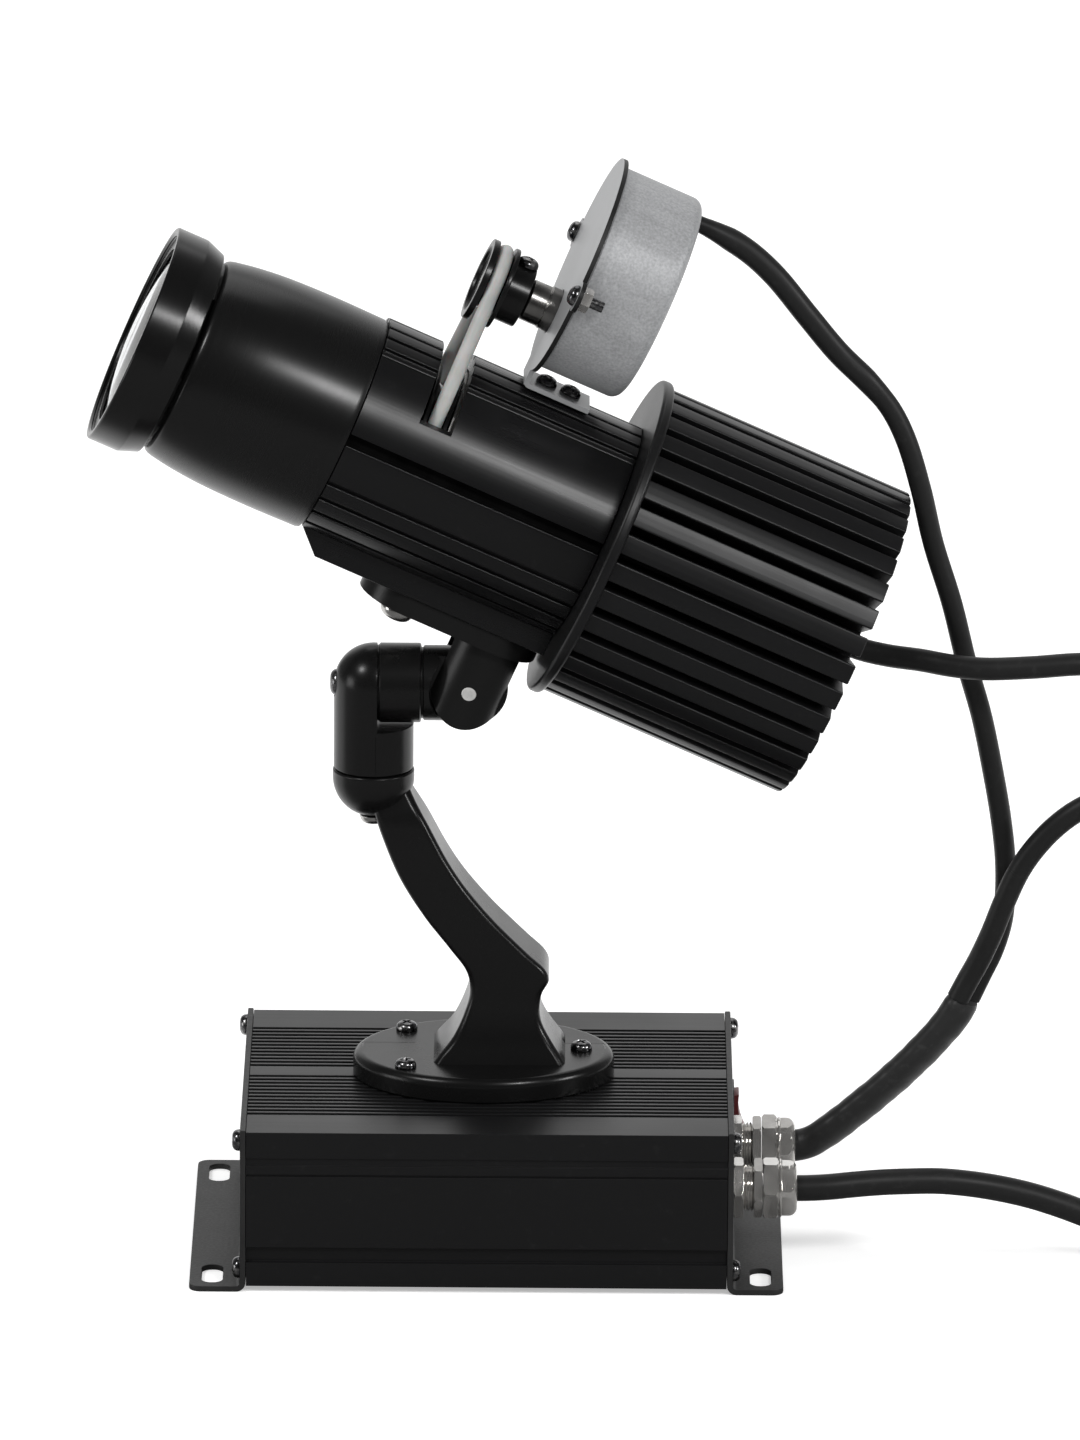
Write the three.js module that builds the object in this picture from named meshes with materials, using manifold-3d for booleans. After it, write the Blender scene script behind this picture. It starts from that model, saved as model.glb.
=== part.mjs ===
// Gobo projector: a driver box with bent feet carries a cast arm, a pan, roll and tilt knuckle, and a
// finned lamp head whose motor turns the gobo through a round belt.
// Millimetres, +Z up. The origin is the middle of the box on the surface that the feet stand on.
// The lens looks towards -X and up, and the glands are on the +X end.
import * as THREE from 'three';
import { mergeVertices } from 'three/addons/utils/BufferGeometryUtils.js';
import Module from 'manifold-3d';

const wasm = await Module();
wasm.setup();

// Clearances between pieces
const seatGap = 0.1;
const fitGap = 0.3;
const overrun = 1;

// Base box
const baseLength = 123;
const baseDepth = 101.2;
const baseHeight = 41.4;
const baseWall = 2.6;
const baseCorner = 0.8;
const topGrooveDepth = 0.5;
const topGrooveWidthShare = 0.45;
const topBandShares = [0.14, 0.33, 0.06, 0.33, 0.14];
const ledgeDrop = 7;
const ledgeHeight = 1.9;
const ledgeDepth = 0.5;
const lineDrop = 11.3;
const lineHeight = 0.5;
const lineDepth = 0.5;
const channelDrop = 31;
const channelHeight = 4;
const channelDepth = 1.4;
const portSize = 7;
const boardRibReach = 2.5;
const boardRibThickness = 1.2;
const boardRibRise = 4.9;
const grooveCount = 12;

// End plates
const plateThickness = 1.5;
const plateRise = 0.5;
const bendRadius = 1;
const footReach = 13;
const footCorner = 3;
const footSlotWidth = 5.4;
const footSlotLength = 13.6;
const footSlotReach = 7.2;
const footSlotInset = 10.3;

// Small screws and nuts
const screwHeadRadius = 2.8;
const screwHeadHeight = 2.1;
const screwShankRadius = 1.4;
const screwLength = 7;
const nutFlats = 5.5;
const nutHeight = 2.4;
const portSideInset = 3.4;
const portTopInset = 3.1;
const portBottomInset = 4;

// Driver board
const boardThickness = 1.6;
const boardLength = 100;
const transformerLength = 26;
const transformerDepth = 22;
const transformerHeight = 19;
const transformerX = -18;
const transformerY = 12;
const capacitorRadius = 6;
const capacitorHeight = 21;
const capacitorPitch = 16;
const capacitorX = 14;
const capacitorY = -8;

// Support arm
const flangeX = -1.2;
const flangeHalfLength = 33.7;
const flangeHalfDepth = 26.5;
const flangeThickness = 6.3;
const flangeRound = 2.4;
const flangeScrewReach = 25.2;
const flangeScrewFarReach = 20;
const flangeScrewSpread = 15.5;
const panReach = 28.7;
const cupRadius = 10.5;
const cupRimHeight = 82.2;
const cupWall = 2.2;
const armHalfThickness = 10.25;
const armCorner = 2.2;

// Knuckle
const elbowRadius = 10.25;
const rollAxisRise = 22.5;
const elbowSplit = 0.9;
const elbowEdge = 0.4;
const lugGap = 0.5;
const lugStepReach = 12.3;
const lugNeckRadius = 10;
const tongueHalf = 4.7;
const earRadius = 9.8;
const earHalfSpan = 10.1;
const earGap = 0.45;
const tiltDownStop = 16;
const pinReach = 24.4;
const pinRadius = 2.1;
const knuckleScrewRadius = 2;
const knuckleHeadRadius = 3.5;
const knuckleHeadHeight = 2.4;
const knucklePocketDepth = 7.2;
const rollHeadSink = 1.44;
const panScrewLength = 24;
const rollScrewLength = 15;

// Head attitude and the barrel; stations run along the barrel's axis from its front end to the rear
const headTilt = 24;
const pinStation = 57.6;
const pinDrop = 49.5;
const barrelLength = 70.2;
const barrelRadius = 28.7;
const barrelBore = 25.6;
const crownRadius = 29.6;
const railDrop = 31.4;
const railHalfWidth = 13.5;
const railChamfer = 4.5;
const ribGrooveDepth = 1.1;
const ribGrooveWidth = 1.3;
const sideSlotDepth = 2;
const sideSlotWidth = 3.12;
const slotStart = 14.9;
const slotWidth = 8.7;
const slotFloor = 14.8;

// Fork bracket
const forkPlateLength = 49;
const forkSinkGap = 0.4;
const forkPlateHalfWidth = 12.5;
const forkPlateThickness = 4.9;
const forkScrewInset = 10.9;
const forkScrewSpread = 6.5;
const forkScrewHeadRadius = 4.5;
const forkScrewHeadHeight = 3.2;
const forkScrewShankRadius = 2;
const forkScrewReach = 8.96;

// Heat sink
const sinkFlangeRadius = 43.1;
const sinkFlangeThickness = 3;
const sinkRadius = 41.7;
const sinkLength = 69.7;
const sinkCoreRadius = 25;
const sinkBore = 4.2;
const finCount = 34;
const finWidth = 5.3;
const finRootWidth = 2.2;

// Light source
const ledBoardRadius = 21;
const ledBoardThickness = 1.6;
const emitterHalf = 7;
const emitterHeight = 1.2;
const condenserStart = 34;
const condenserLength = 26;
const condenserWall = 3;
const condenserLensHeight = 8;
const condenserEdge = 2;

// Gobo and belt drive
const beltRadius = 1.9;
const pulleyBeltRadius = 8.8;
const goboBeltRadius = 21.6;
const motorAxisRise = 49.5;
const goboRingLength = 6.6;
const goboRingRadius = 24;
const goboApertureRadius = 15.4;
const goboDiscRadius = 17;
const goboDiscThickness = 1.1;
const journalRadius = 20;
const journalLength = 7;
const bushLength = 6.5;
const pulleyFlangeRadius = 10.8;
const pulleyFrontFlange = 2;
const pulleyRearFlange = 1.5;
const pulleyHubRadius = 8;
const pulleyHubLength = 5.7;
const pulleyDish = 1;
const shaftRadius = 3.2;
const setScrewRadius = 1.5;

// Motor
const motorPlateStation = 36.7;
const motorPlateThickness = 1.2;
const motorPlateRadius = 29.35;
const motorCentreRise = 63.1;
const motorCanRadius = 27.5;
const motorCanLength = 22;
const motorCanRound = 3;
const bossRadius = 5.45;
const bossStepRadius = 5.75;
const bossStepLength = 3;
const earSpread = 31;
const plateEarRadius = 4;
const motorFootLength = 18.2;
const motorFootWidth = 13.5;
const motorFootScrewInset = 6;
const motorFootScrewPitch = 6.6;
const earScrewLength = 7.4;
const leadHoleRadius = 3.1;
const leadHoleInset = 5;

// Lens tube, lenses and hood
const tubeLength = 44.3;
const tubeFrontRadius = 25.7;
const tubeBellyRise = 3;
const tubeBore = 22.6;
const spigotLength = 11;
const spigotWall = 2.4;
const hoodLength = 13.5;
const hoodStraight = 8.3;
const hoodRadius = 29.2;
const hoodBackRadius = 27.4;
const hoodNeckGap = 0.9;
const hoodRim = 2;
const hoodRecess = 6.6;
const cellFlangeThickness = 2.2;
const cellWall = 2.3;
const cellLength = 30;
const objectiveRadius = 25.2;
const objectiveEdge = 1.4;
const objectiveRise = 3.4;
const retainerThickness = 0.8;
const retainerLift = 0.98;
const retainerWidth = 1.6;
const rearLensRise = 3;
const rearLensEdge = 1.6;
const rearLensLip = 1.2;

// Rocker switch
const switchInset = 19.6;
const switchHeight = 15;
const switchDepth = 10.5;
const switchBezel = 1.5;
const switchBodyLength = 14;
const switchFrame = 1.2;
const switchWellDepth = 4.5;
const rockerRise = 1.6;
const rockerTilt = 10;
const rockerPivotDepth = 1.7;

// Cable glands
const glandY = [-30, 4];
const glandRise = 20.6;
const glandFlats = 14;
const glandThreadRadius = 6.1;
const glandInside = 8;
const glandNutThickness = 2.6;
const glandThreadShow = 2.7;
const glandRingThickness = 2.4;
const capHexLength = 4;
const capDomeLength = 4.6;
const capDomeRadius = 7.2;
const capMouthRadius = 5;
const glandChamfer = 0.9;

// Cables
const cordRadius = 3.4;
const ledLeadRadius = 2.95;
const motorLeadRadius = 2.8;
const sleeveRadius = 3.9;
const sleeveHalfWidth = 6.3;
const sleeveHalfDepth = 3.4;
const coilX = 212;
const coilY = 26;
const coilInnerRadius = 27;
const coilLayerTurns = 2.75;
const coilClimbTurns = 0.5;
const coilPitch = 7.6;
const coilLift = 7.4;
const coilClear = 0.1;
const coilTail = 6.8;
const plugX = 252;
const plugHeight = 8.6;
const plugHalfWidth = 18;
const plugHalfThickness = 8.4;
const plugBodyLength = 34;
const plugNeckLength = 24;
const plugPinRadius = 2.4;
const plugPinLength = 19;
const plugPinSpread = 9.5;

// Facets
const rimSides = 48;
const roundSides = 32;
const innerSides = 24;
const postSides = 24;
const smallSides = 12;
const screwSides = 8;
const domeSteps = 4;
const cornerSteps = 2;
const roundSteps = 4;
const leadSteps = 24;
const cordRunSteps = 12;
const cordEndSteps = 4;
const barrelSteps = 30;
const cordSides = 8;
const pulleyBeltSteps = 10;
const goboBeltSteps = 24;
const coilTurnSteps = 24;
const coilSides = 6;
const plugSides = 16;
const sleeveSteps = 10;

// Flat top of a screw's head and height of its straight side, as shares of its radius and height
const screwTopShare = 0.62;
const screwSideShare = 0.5;

// Radii at which a lens's dome is stepped, as shares of its own
const lensShares = [0.85, 0.6, 0.32];

// Stretch over which the sleeve turns from oval to round, as shares of its length
const sleeveRoundShares = [0.6, 0.9];

// Where the cord leaves the coil's height and reaches the plug's, as shares of its run to the plug
const cordEndShares = [0.3, 0.65];

// Inner corner of a gland's dome, as a share of its chamfer
const domeCornerShare = 0.6;

// Rises of the rocker's hollow face and of its back, as shares of its rise at the ends
const rockerHollowShare = 0.3;
const rockerBackShare = 2;

// Sections of the plug from its neck to its face: station, width and thickness as shares
const plugSectionShares = [
  [0, 0.26, 0.55], [0.3, 0.3, 0.62], [0.41, 0.42, 0.78], [0.47, 0.8, 0.98], [0.54, 0.97, 1],
  [0.93, 1, 1], [1, 0.94, 0.9],
];

// Worked-out places
const baseLift = plateThickness + seatGap;
const boxTop = baseLift + baseHeight;
const plateInner = baseLength / 2 + seatGap;
const plateOuter = plateInner + plateThickness;
const flangeBottom = boxTop + seatGap;
const flangeTop = flangeBottom + flangeThickness;
const panX = flangeX - panReach;
const cupRim = boxTop + cupRimHeight;
const rollAxisZ = cupRim + fitGap + rollAxisRise;
const pinX = panX + pinReach;
const glandZ = baseLift + glandRise;
const switchY = baseDepth / 2 - switchInset;
const railBottom = -railDrop;
const forkPlateTop = railBottom - fitGap;
const forkPlateBottom = forkPlateTop - forkPlateThickness;
const sinkStart = barrelLength + fitGap;
const forkPlateStart = sinkStart - forkSinkGap - forkPlateLength;
const forkScrewStation = forkPlateStart + forkScrewInset;
const beltStation = slotStart + slotWidth / 2;
const pulleyStart = beltStation - beltRadius - pulleyFrontFlange;
const hubStart = beltStation + beltRadius + pulleyRearFlange;
const bossStart = hubStart + pulleyHubLength + fitGap;
const canStart = motorPlateStation + motorPlateThickness + fitGap;
const hoodEnd = -tubeLength - hoodNeckGap;
const hoodStart = hoodEnd - hoodLength;
const cellFlangeBack = hoodStart + hoodRecess;
const cellRadius = tubeBore - fitGap;
const holeRadius = screwShankRadius + fitGap;
const leadSide = new THREE.Vector3(0.52, 0.82, -0.24).normalize();

const finish = {
  blackMetal: { color: 0x17181a, roughness: 0.42, metalness: 0.55 },
  blackCasting: { color: 0x131416, roughness: 0.38, metalness: 0.35 },
  zincMetal: { color: 0x8d9094, roughness: 0.5, metalness: 0.7 },
  brightMetal: { color: 0xc9cbce, roughness: 0.25, metalness: 0.95 },
  darkScrew: { color: 0x3c3e42, roughness: 0.35, metalness: 0.85 },
  whiteMetal: { color: 0xd6d8da, roughness: 0.5, metalness: 0.3 },
  beltRubber: { color: 0xcfd1cf, roughness: 0.45, metalness: 0 },
  blackRubber: { color: 0x111213, roughness: 0.55, metalness: 0 },
  blackPlastic: { color: 0x161718, roughness: 0.45, metalness: 0 },
  redPlastic: { color: 0x7d1614, roughness: 0.35, metalness: 0 },
  boardGreen: { color: 0x1f5a3a, roughness: 0.5, metalness: 0 },
  emitterYellow: { color: 0xd8c24a, roughness: 0.4, metalness: 0 },
  glass: { color: 0xdfe9ee, roughness: 0.05, metalness: 0 },
};
const materials = {};
for (const [name, look] of Object.entries(finish)) {
  materials[name] = new THREE.MeshStandardMaterial(look);
}

const projector = new THREE.Group();

// A mesh of one piece, hung in its group
function piece(name, geometry, material, parent = projector) {
  const mesh = new THREE.Mesh(geometry, materials[material]);
  mesh.name = name;
  parent.add(mesh);
  return mesh;
}

// Solid of a closed geometry, facing out whichever way its profile was drawn
function solid(geometry) {
  const bare = geometry.clone();
  bare.deleteAttribute('normal');
  bare.deleteAttribute('uv');
  const welded = mergeVertices(bare);
  const triVerts = new Uint32Array(welded.index.array);
  const vertProperties = new Float32Array(welded.attributes.position.array);
  if (signedVolume(vertProperties, triVerts) < 0) {
    triVerts.reverse();
  }
  return new wasm.Manifold(new wasm.Mesh({ numProp: 3, vertProperties, triVerts }));
}

function signedVolume(points, triangles) {
  let total = 0;
  const a = new THREE.Vector3();
  const b = new THREE.Vector3();
  const c = new THREE.Vector3();
  for (let i = 0; i < triangles.length; i += 3) {
    a.fromArray(points, triangles[i] * 3);
    b.fromArray(points, triangles[i + 1] * 3);
    c.fromArray(points, triangles[i + 2] * 3);
    total += a.dot(b.cross(c));
  }
  return total;
}

function geometryOf(manifold) {
  const mesh = manifold.getMesh();
  const geometry = new THREE.BufferGeometry();
  geometry.setAttribute('position', new THREE.BufferAttribute(mesh.vertProperties, 3));
  geometry.setIndex(new THREE.BufferAttribute(mesh.triVerts, 1));
  const flat = geometry.toNonIndexed();
  flat.computeVertexNormals();
  return flat;
}

function join(...geometries) {
  return geometryOf(geometries.map(solid).reduce((sum, next) => sum.add(next)));
}

function cut(geometry, ...tools) {
  return geometryOf(tools.map(solid).reduce((rest, tool) => rest.subtract(tool), solid(geometry)));
}

function common(a, b) {
  return geometryOf(solid(a).intersect(solid(b)));
}

// Turned shape: profile points are [radius, height] along the given axis
function turned(profile, sides, axis = 'z') {
  const points = profile.map(([radius, height]) => new THREE.Vector2(radius, height));
  const geometry = new THREE.LatheGeometry(points, sides);
  if (axis === 'z') geometry.rotateX(Math.PI / 2);
  if (axis === 'x') geometry.rotateZ(-Math.PI / 2);
  return geometryOf(solid(geometry));
}

// Cylinder from one height to another along an axis
function rod(radius, from, to, sides, axis = 'z') {
  return turned([[0, from], [radius, from], [radius, to], [0, to]], sides, axis);
}

// Ring with a rectangular section, from one height to another along an axis
function ring(inner, outer, from, to, sides, axis = 'x') {
  return turned([[inner, from], [outer, from], [outer, to], [inner, to], [inner, from]], sides, axis);
}

function block(x0, x1, y0, y1, z0, z1) {
  const geometry = new THREE.BoxGeometry(x1 - x0, y1 - y0, z1 - z0);
  return geometry.translate((x0 + x1) / 2, (y0 + y1) / 2, (z0 + z1) / 2);
}

// Flat outline in the YZ plane, extruded along +X
function alongX(shape, length) {
  const geometry = alongZ(shape, length);
  const basis = new THREE.Matrix4().makeBasis(
    new THREE.Vector3(0, 1, 0), new THREE.Vector3(0, 0, 1), new THREE.Vector3(1, 0, 0));
  return geometry.applyMatrix4(basis);
}

// Flat outline in the XZ plane, extruded along Y on both sides of the middle
function alongY(shape, width) {
  return alongZ(shape, width).translate(0, 0, -width / 2).rotateX(Math.PI / 2);
}

// Flat outline in the XY plane, extruded along +Z
function alongZ(shape, height) {
  return new THREE.ExtrudeGeometry(shape,
    { depth: height, bevelEnabled: false, curveSegments: domeSteps });
}

function shapeOf(points) {
  return new THREE.Shape(points.map(([x, y]) => new THREE.Vector2(x, y)));
}

// Outline of a slot or an oval plate: a straight middle and two half-round ends, long along x
function stadium(length, halfWidth) {
  const shape = new THREE.Shape();
  const straight = length / 2 - halfWidth;
  shape.absarc(straight, 0, halfWidth, -Math.PI / 2, Math.PI / 2);
  shape.absarc(-straight, 0, halfWidth, Math.PI / 2, (3 * Math.PI) / 2);
  return shape;
}

function hexagon(flats) {
  const corner = flats / Math.sqrt(3);
  const points = [];
  for (let i = 0; i < 6; i += 1) {
    const angle = (i * Math.PI) / 3;
    points.push([corner * Math.cos(angle), corner * Math.sin(angle)]);
  }
  return points;
}

// Pan head screw along +Z: the head stands above the origin and the shank goes down
function screw(headRadius, headHeight, shankRadius, length) {
  return turned([
    [0, -length], [shankRadius, -length], [shankRadius, 0], [headRadius, 0],
    [headRadius, headHeight * screwSideShare], [headRadius * screwTopShare, headHeight],
    [0, headHeight],
  ], screwSides);
}

function smallScrew() {
  return screw(screwHeadRadius, screwHeadHeight, screwShankRadius, screwLength);
}

function curveThrough(points) {
  const places = points.map((point) => new THREE.Vector3(...point));
  return new THREE.CatmullRomCurve3(places, false, 'centripetal');
}

// Round section swept along a smooth open route
function cable(points, radius, steps, sides = cordSides) {
  const curve = curveThrough(points);
  const section = new THREE.Shape();
  for (let i = 0; i < sides; i += 1) {
    const angle = (i * 2 * Math.PI) / sides;
    const x = radius * Math.cos(angle);
    const y = radius * Math.sin(angle);
    if (i === 0) section.moveTo(x, y);
    else section.lineTo(x, y);
  }
  return new THREE.ExtrudeGeometry(section, { steps, extrudePath: curve, bevelEnabled: false });
}

// Loft through rings of equal point counts, closed by a fan at each end
function loft(rings) {
  const count = rings[0].length;
  const points = rings.flat();
  const triangles = [];
  for (let i = 0; i + 1 < rings.length; i += 1) {
    for (let j = 0; j < count; j += 1) {
      const a = i * count + j;
      const b = i * count + ((j + 1) % count);
      triangles.push(a, b, b + count, a, b + count, a + count);
    }
  }
  const last = (rings.length - 1) * count;
  for (let j = 1; j + 1 < count; j += 1) {
    triangles.push(0, j + 1, j, last, last + j, last + j + 1);
  }
  const geometry = new THREE.BufferGeometry();
  geometry.setAttribute('position',
    new THREE.Float32BufferAttribute(points.flatMap((p) => p.toArray()), 3));
  geometry.setIndex(triangles);
  return geometryOf(solid(geometry));
}

// Base box: grooved top, stepped front and back, screw ports in the corners, slots for the board
function baseExtrusion() {
  const half = baseDepth / 2;
  const outline = [];
  const sideNotches = [
    [ledgeDrop, ledgeHeight, ledgeDepth], [lineDrop, lineHeight, lineDepth],
    [channelDrop, channelHeight, channelDepth],
  ];
  outline.push([-half + baseCorner, 0], [half - baseCorner, 0], [half, baseCorner]);
  for (const [drop, height, depth] of [...sideNotches].reverse()) {
    const top = baseHeight - drop;
    outline.push([half, top - height], [half - depth, top - height], [half - depth, top], [half, top]);
  }
  outline.push([half, baseHeight - baseCorner], [half - baseCorner, baseHeight]);
  let bandEnd = half;
  topBandShares.forEach((share, index) => {
    const band = share * baseDepth;
    if (index % 2 === 1) {
      const pitch = band / grooveCount;
      for (let i = 0; i < grooveCount; i += 1) {
        const middle = bandEnd - (i + 0.5) * pitch;
        const reach = (pitch * topGrooveWidthShare) / 2;
        outline.push([middle + reach, baseHeight], [middle + reach, baseHeight - topGrooveDepth]);
        outline.push([middle - reach, baseHeight - topGrooveDepth], [middle - reach, baseHeight]);
      }
    }
    bandEnd -= band;
  });
  outline.push([-half + baseCorner, baseHeight], [-half, baseHeight - baseCorner]);
  for (const [drop, height, depth] of sideNotches) {
    const top = baseHeight - drop;
    outline.push([-half, top], [-half + depth, top], [-half + depth, top - height],
      [-half, top - height]);
  }
  outline.push([-half, baseCorner]);
  const shape = shapeOf(outline);
  shape.holes.push(boxCavity());
  for (const [y, z] of portCentres()) {
    shape.holes.push(circlePath(y, z, holeRadius, screwSides));
  }
  const geometry = alongX(shape, baseLength).translate(-baseLength / 2, 0, baseLift);
  return cut(geometry, ...flangeScrewPlaces().map(([x, y]) =>
    rod(holeRadius, boxTop - baseWall - overrun, boxTop + overrun, screwSides).translate(x, y, 0)));
}

function circlePath(x, y, radius, sides) {
  const path = new THREE.Path();
  for (let i = 0; i < sides; i += 1) {
    const angle = (-i * 2 * Math.PI) / sides;
    const px = x + radius * Math.cos(angle);
    const py = y + radius * Math.sin(angle);
    if (i === 0) path.moveTo(px, py);
    else path.lineTo(px, py);
  }
  return path;
}

// Inside of the box, with solid corners round the screw ports and a pair of ribs on each side
function boxCavity() {
  const half = baseDepth / 2 - baseWall;
  const port = baseDepth / 2 - portSize;
  const low = baseWall;
  const high = baseHeight - baseWall;
  const lowPort = portSize + (portBottomInset - portSideInset);
  const highPort = baseHeight - portSize;
  const side = (sign) => {
    const points = [[sign * port, low], [sign * port, lowPort], [sign * half, lowPort]];
    for (const rise of [boardRibRise, boardRibRise + boardThickness + boardRibThickness + fitGap]) {
      const base = lowPort + rise - boardRibThickness;
      const tip = half - boardRibReach;
      points.push([sign * half, base], [sign * tip, base]);
      points.push([sign * tip, base + boardRibThickness], [sign * half, base + boardRibThickness]);
    }
    points.push([sign * half, highPort], [sign * port, highPort], [sign * port, high]);
    return points;
  };
  const path = [...side(-1), ...side(1).reverse()];
  return new THREE.Path(path.map(([x, y]) => new THREE.Vector2(x, y)));
}

function portCentres() {
  const side = baseDepth / 2 - portSideInset;
  return [
    [-side, portBottomInset], [side, portBottomInset],
    [-side, baseHeight - portTopInset], [side, baseHeight - portTopInset],
  ];
}

function flangeScrewPlaces() {
  return [
    [flangeX - flangeScrewFarReach, -flangeScrewSpread],
    [flangeX - flangeScrewFarReach, flangeScrewSpread],
    [flangeX + flangeScrewReach, 0],
  ];
}

// End plate of the +X end: an upright sheet bent outwards into a slotted foot, with its four screws
function endPlate() {
  const top = boxTop + plateRise;
  const outer = bendRadius + plateThickness;
  const profile = new THREE.Shape();
  profile.moveTo(plateInner, top);
  profile.lineTo(plateInner, outer);
  profile.absarc(plateInner + outer, outer, outer, Math.PI, (3 * Math.PI) / 2);
  profile.lineTo(plateOuter + footReach, 0);
  profile.lineTo(plateOuter + footReach, plateThickness);
  profile.lineTo(plateInner + outer, plateThickness);
  profile.absarc(plateInner + outer, outer, bendRadius, (3 * Math.PI) / 2, Math.PI, true);
  profile.lineTo(plateOuter, top);
  const sheet = alongY(profile, baseDepth);
  const slot = alongZ(stadium(footSlotLength, footSlotWidth / 2), plateThickness + overrun * 2)
    .rotateZ(Math.PI / 2);
  const slots = [-1, 1].map((side) => slot.clone().translate(
    plateOuter + footSlotReach, side * (baseDepth / 2 - footSlotInset), -overrun));
  const screws = portCentres().map(([y, z]) =>
    smallScrew().rotateY(Math.PI / 2).translate(plateOuter, y, z + baseLift));
  return join(cut(common(sheet, footPlan(top)), ...slots), ...screws);
}

// Plan of the foot with its two rounded corners, tall enough to hold the whole plate
function footPlan(top) {
  const far = plateOuter + footReach;
  const half = baseDepth / 2;
  const plan = new THREE.Shape();
  plan.moveTo(plateInner - overrun, -half);
  plan.lineTo(far - footCorner, -half);
  plan.absarc(far - footCorner, -half + footCorner, footCorner, -Math.PI / 2, 0);
  plan.absarc(far - footCorner, half - footCorner, footCorner, 0, Math.PI / 2);
  plan.lineTo(plateInner - overrun, half);
  return alongZ(plan, top + overrun * 2).translate(0, 0, -overrun);
}

function endPlateLeft() {
  return endPlate().rotateZ(Math.PI);
}

// The +X plate also takes the glands and the switch
function endPlateRight() {
  const holes = glandY.map((y) =>
    rod(glandThreadRadius + fitGap, plateInner - overrun, plateOuter + overrun, smallSides, 'x')
      .translate(0, y, glandZ));
  const window = block(
    plateInner - overrun, plateOuter + overrun,
    switchY - switchDepth / 2 + switchFrame - fitGap, switchY + switchDepth / 2 - switchFrame + fitGap,
    glandZ - switchHeight / 2 + switchFrame - fitGap, glandZ + switchHeight / 2 - switchFrame + fitGap);
  return cut(endPlate(), ...holes, window);
}

function addBase() {
  piece('base_extrusion', baseExtrusion(), 'blackMetal');
  piece('end_plate_left', endPlateLeft(), 'blackMetal');
  piece('end_plate_right', endPlateRight(), 'blackMetal');
}

function addDriver() {
  const under = baseLift + portSize + (portBottomInset - portSideInset) + boardRibRise + fitGap / 2;
  const top = under + boardThickness;
  const half = baseDepth / 2 - baseWall - fitGap;
  const start = -baseLength / 2 + (baseLength - boardLength) / 2;
  const can = rod(capacitorRadius, top - boardThickness / 2, top + capacitorHeight, smallSides);
  piece('driver_board', join(
    block(start, start + boardLength, -half, half, under, top),
    can.clone().translate(capacitorX, capacitorY, 0),
    can.clone().translate(capacitorX + capacitorPitch, capacitorY, 0)), 'boardGreen');
  piece('driver_transformer', block(
    transformerX - transformerLength / 2, transformerX + transformerLength / 2,
    transformerY - transformerDepth / 2, transformerY + transformerDepth / 2,
    top + seatGap, top + seatGap + transformerHeight), 'blackPlastic');
}

// Sections of the arm from the flange up to the cup: height as a share of the arm's rise, left and
// right edges as shares of the reach to the pan axis, half thickness as a share of the arm's
const armSectionShares = [
  [-0.03, 0.42, -0.74, 1.36], [0.005, 0.41, -0.73, 1.34], [0.03, 0.355, -0.655, 1.26],
  [0.08, 0.28, -0.56, 1.12], [0.14, 0.225, -0.505, 1.04], [0.2, 0.18, -0.484, 1],
  [0.26, 0.145, -0.515, 1], [0.3, 0.16, -0.545, 1], [0.34, 0.22, -0.49, 1], [0.414, 0.37, -0.321, 1],
  [0.52, 0.545, -0.051, 1], [0.6, 0.685, 0.1, 1], [0.657, 0.77, 0.202, 1], [0.73, 0.845, 0.32, 1],
  [0.8, 0.915, 0.43, 0.98], [0.86, 0.98, 0.525, 0.85], [0.91, 1, 0.6, 0.62], [0.96, 1, 0.655, 0.36],
];

function armBody() {
  const rise = cupRim - flangeTop;
  const rings = armSectionShares.map(([height, left, right, depth]) => {
    const x0 = flangeX - panReach * left;
    const x1 = flangeX - panReach * right;
    return roundedRing(x0, x1, armHalfThickness * depth, armCorner, flangeTop + rise * height);
  });
  return loft(rings);
}

// Horizontal rectangle with rounded corners, as a ring of points at one height
function roundedRing(x0, x1, halfDepth, corner, z) {
  const points = [];
  const centres = [
    [x1 - corner, halfDepth - corner], [x0 + corner, halfDepth - corner],
    [x0 + corner, -halfDepth + corner], [x1 - corner, -halfDepth + corner],
  ];
  centres.forEach(([cx, cy], quarter) => {
    for (let i = 0; i <= cornerSteps; i += 1) {
      const angle = ((quarter + i / cornerSteps) * Math.PI) / 2;
      points.push(new THREE.Vector3(cx + corner * Math.cos(angle), cy + corner * Math.sin(angle), z));
    }
  });
  return points;
}

function arc(cx, cy, radius, from, to, steps) {
  const points = [];
  for (let i = 0; i <= steps; i += 1) {
    const angle = from + ((to - from) * i) / steps;
    points.push([cx + radius * Math.cos(angle), cy + radius * Math.sin(angle)]);
  }
  return points;
}

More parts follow.
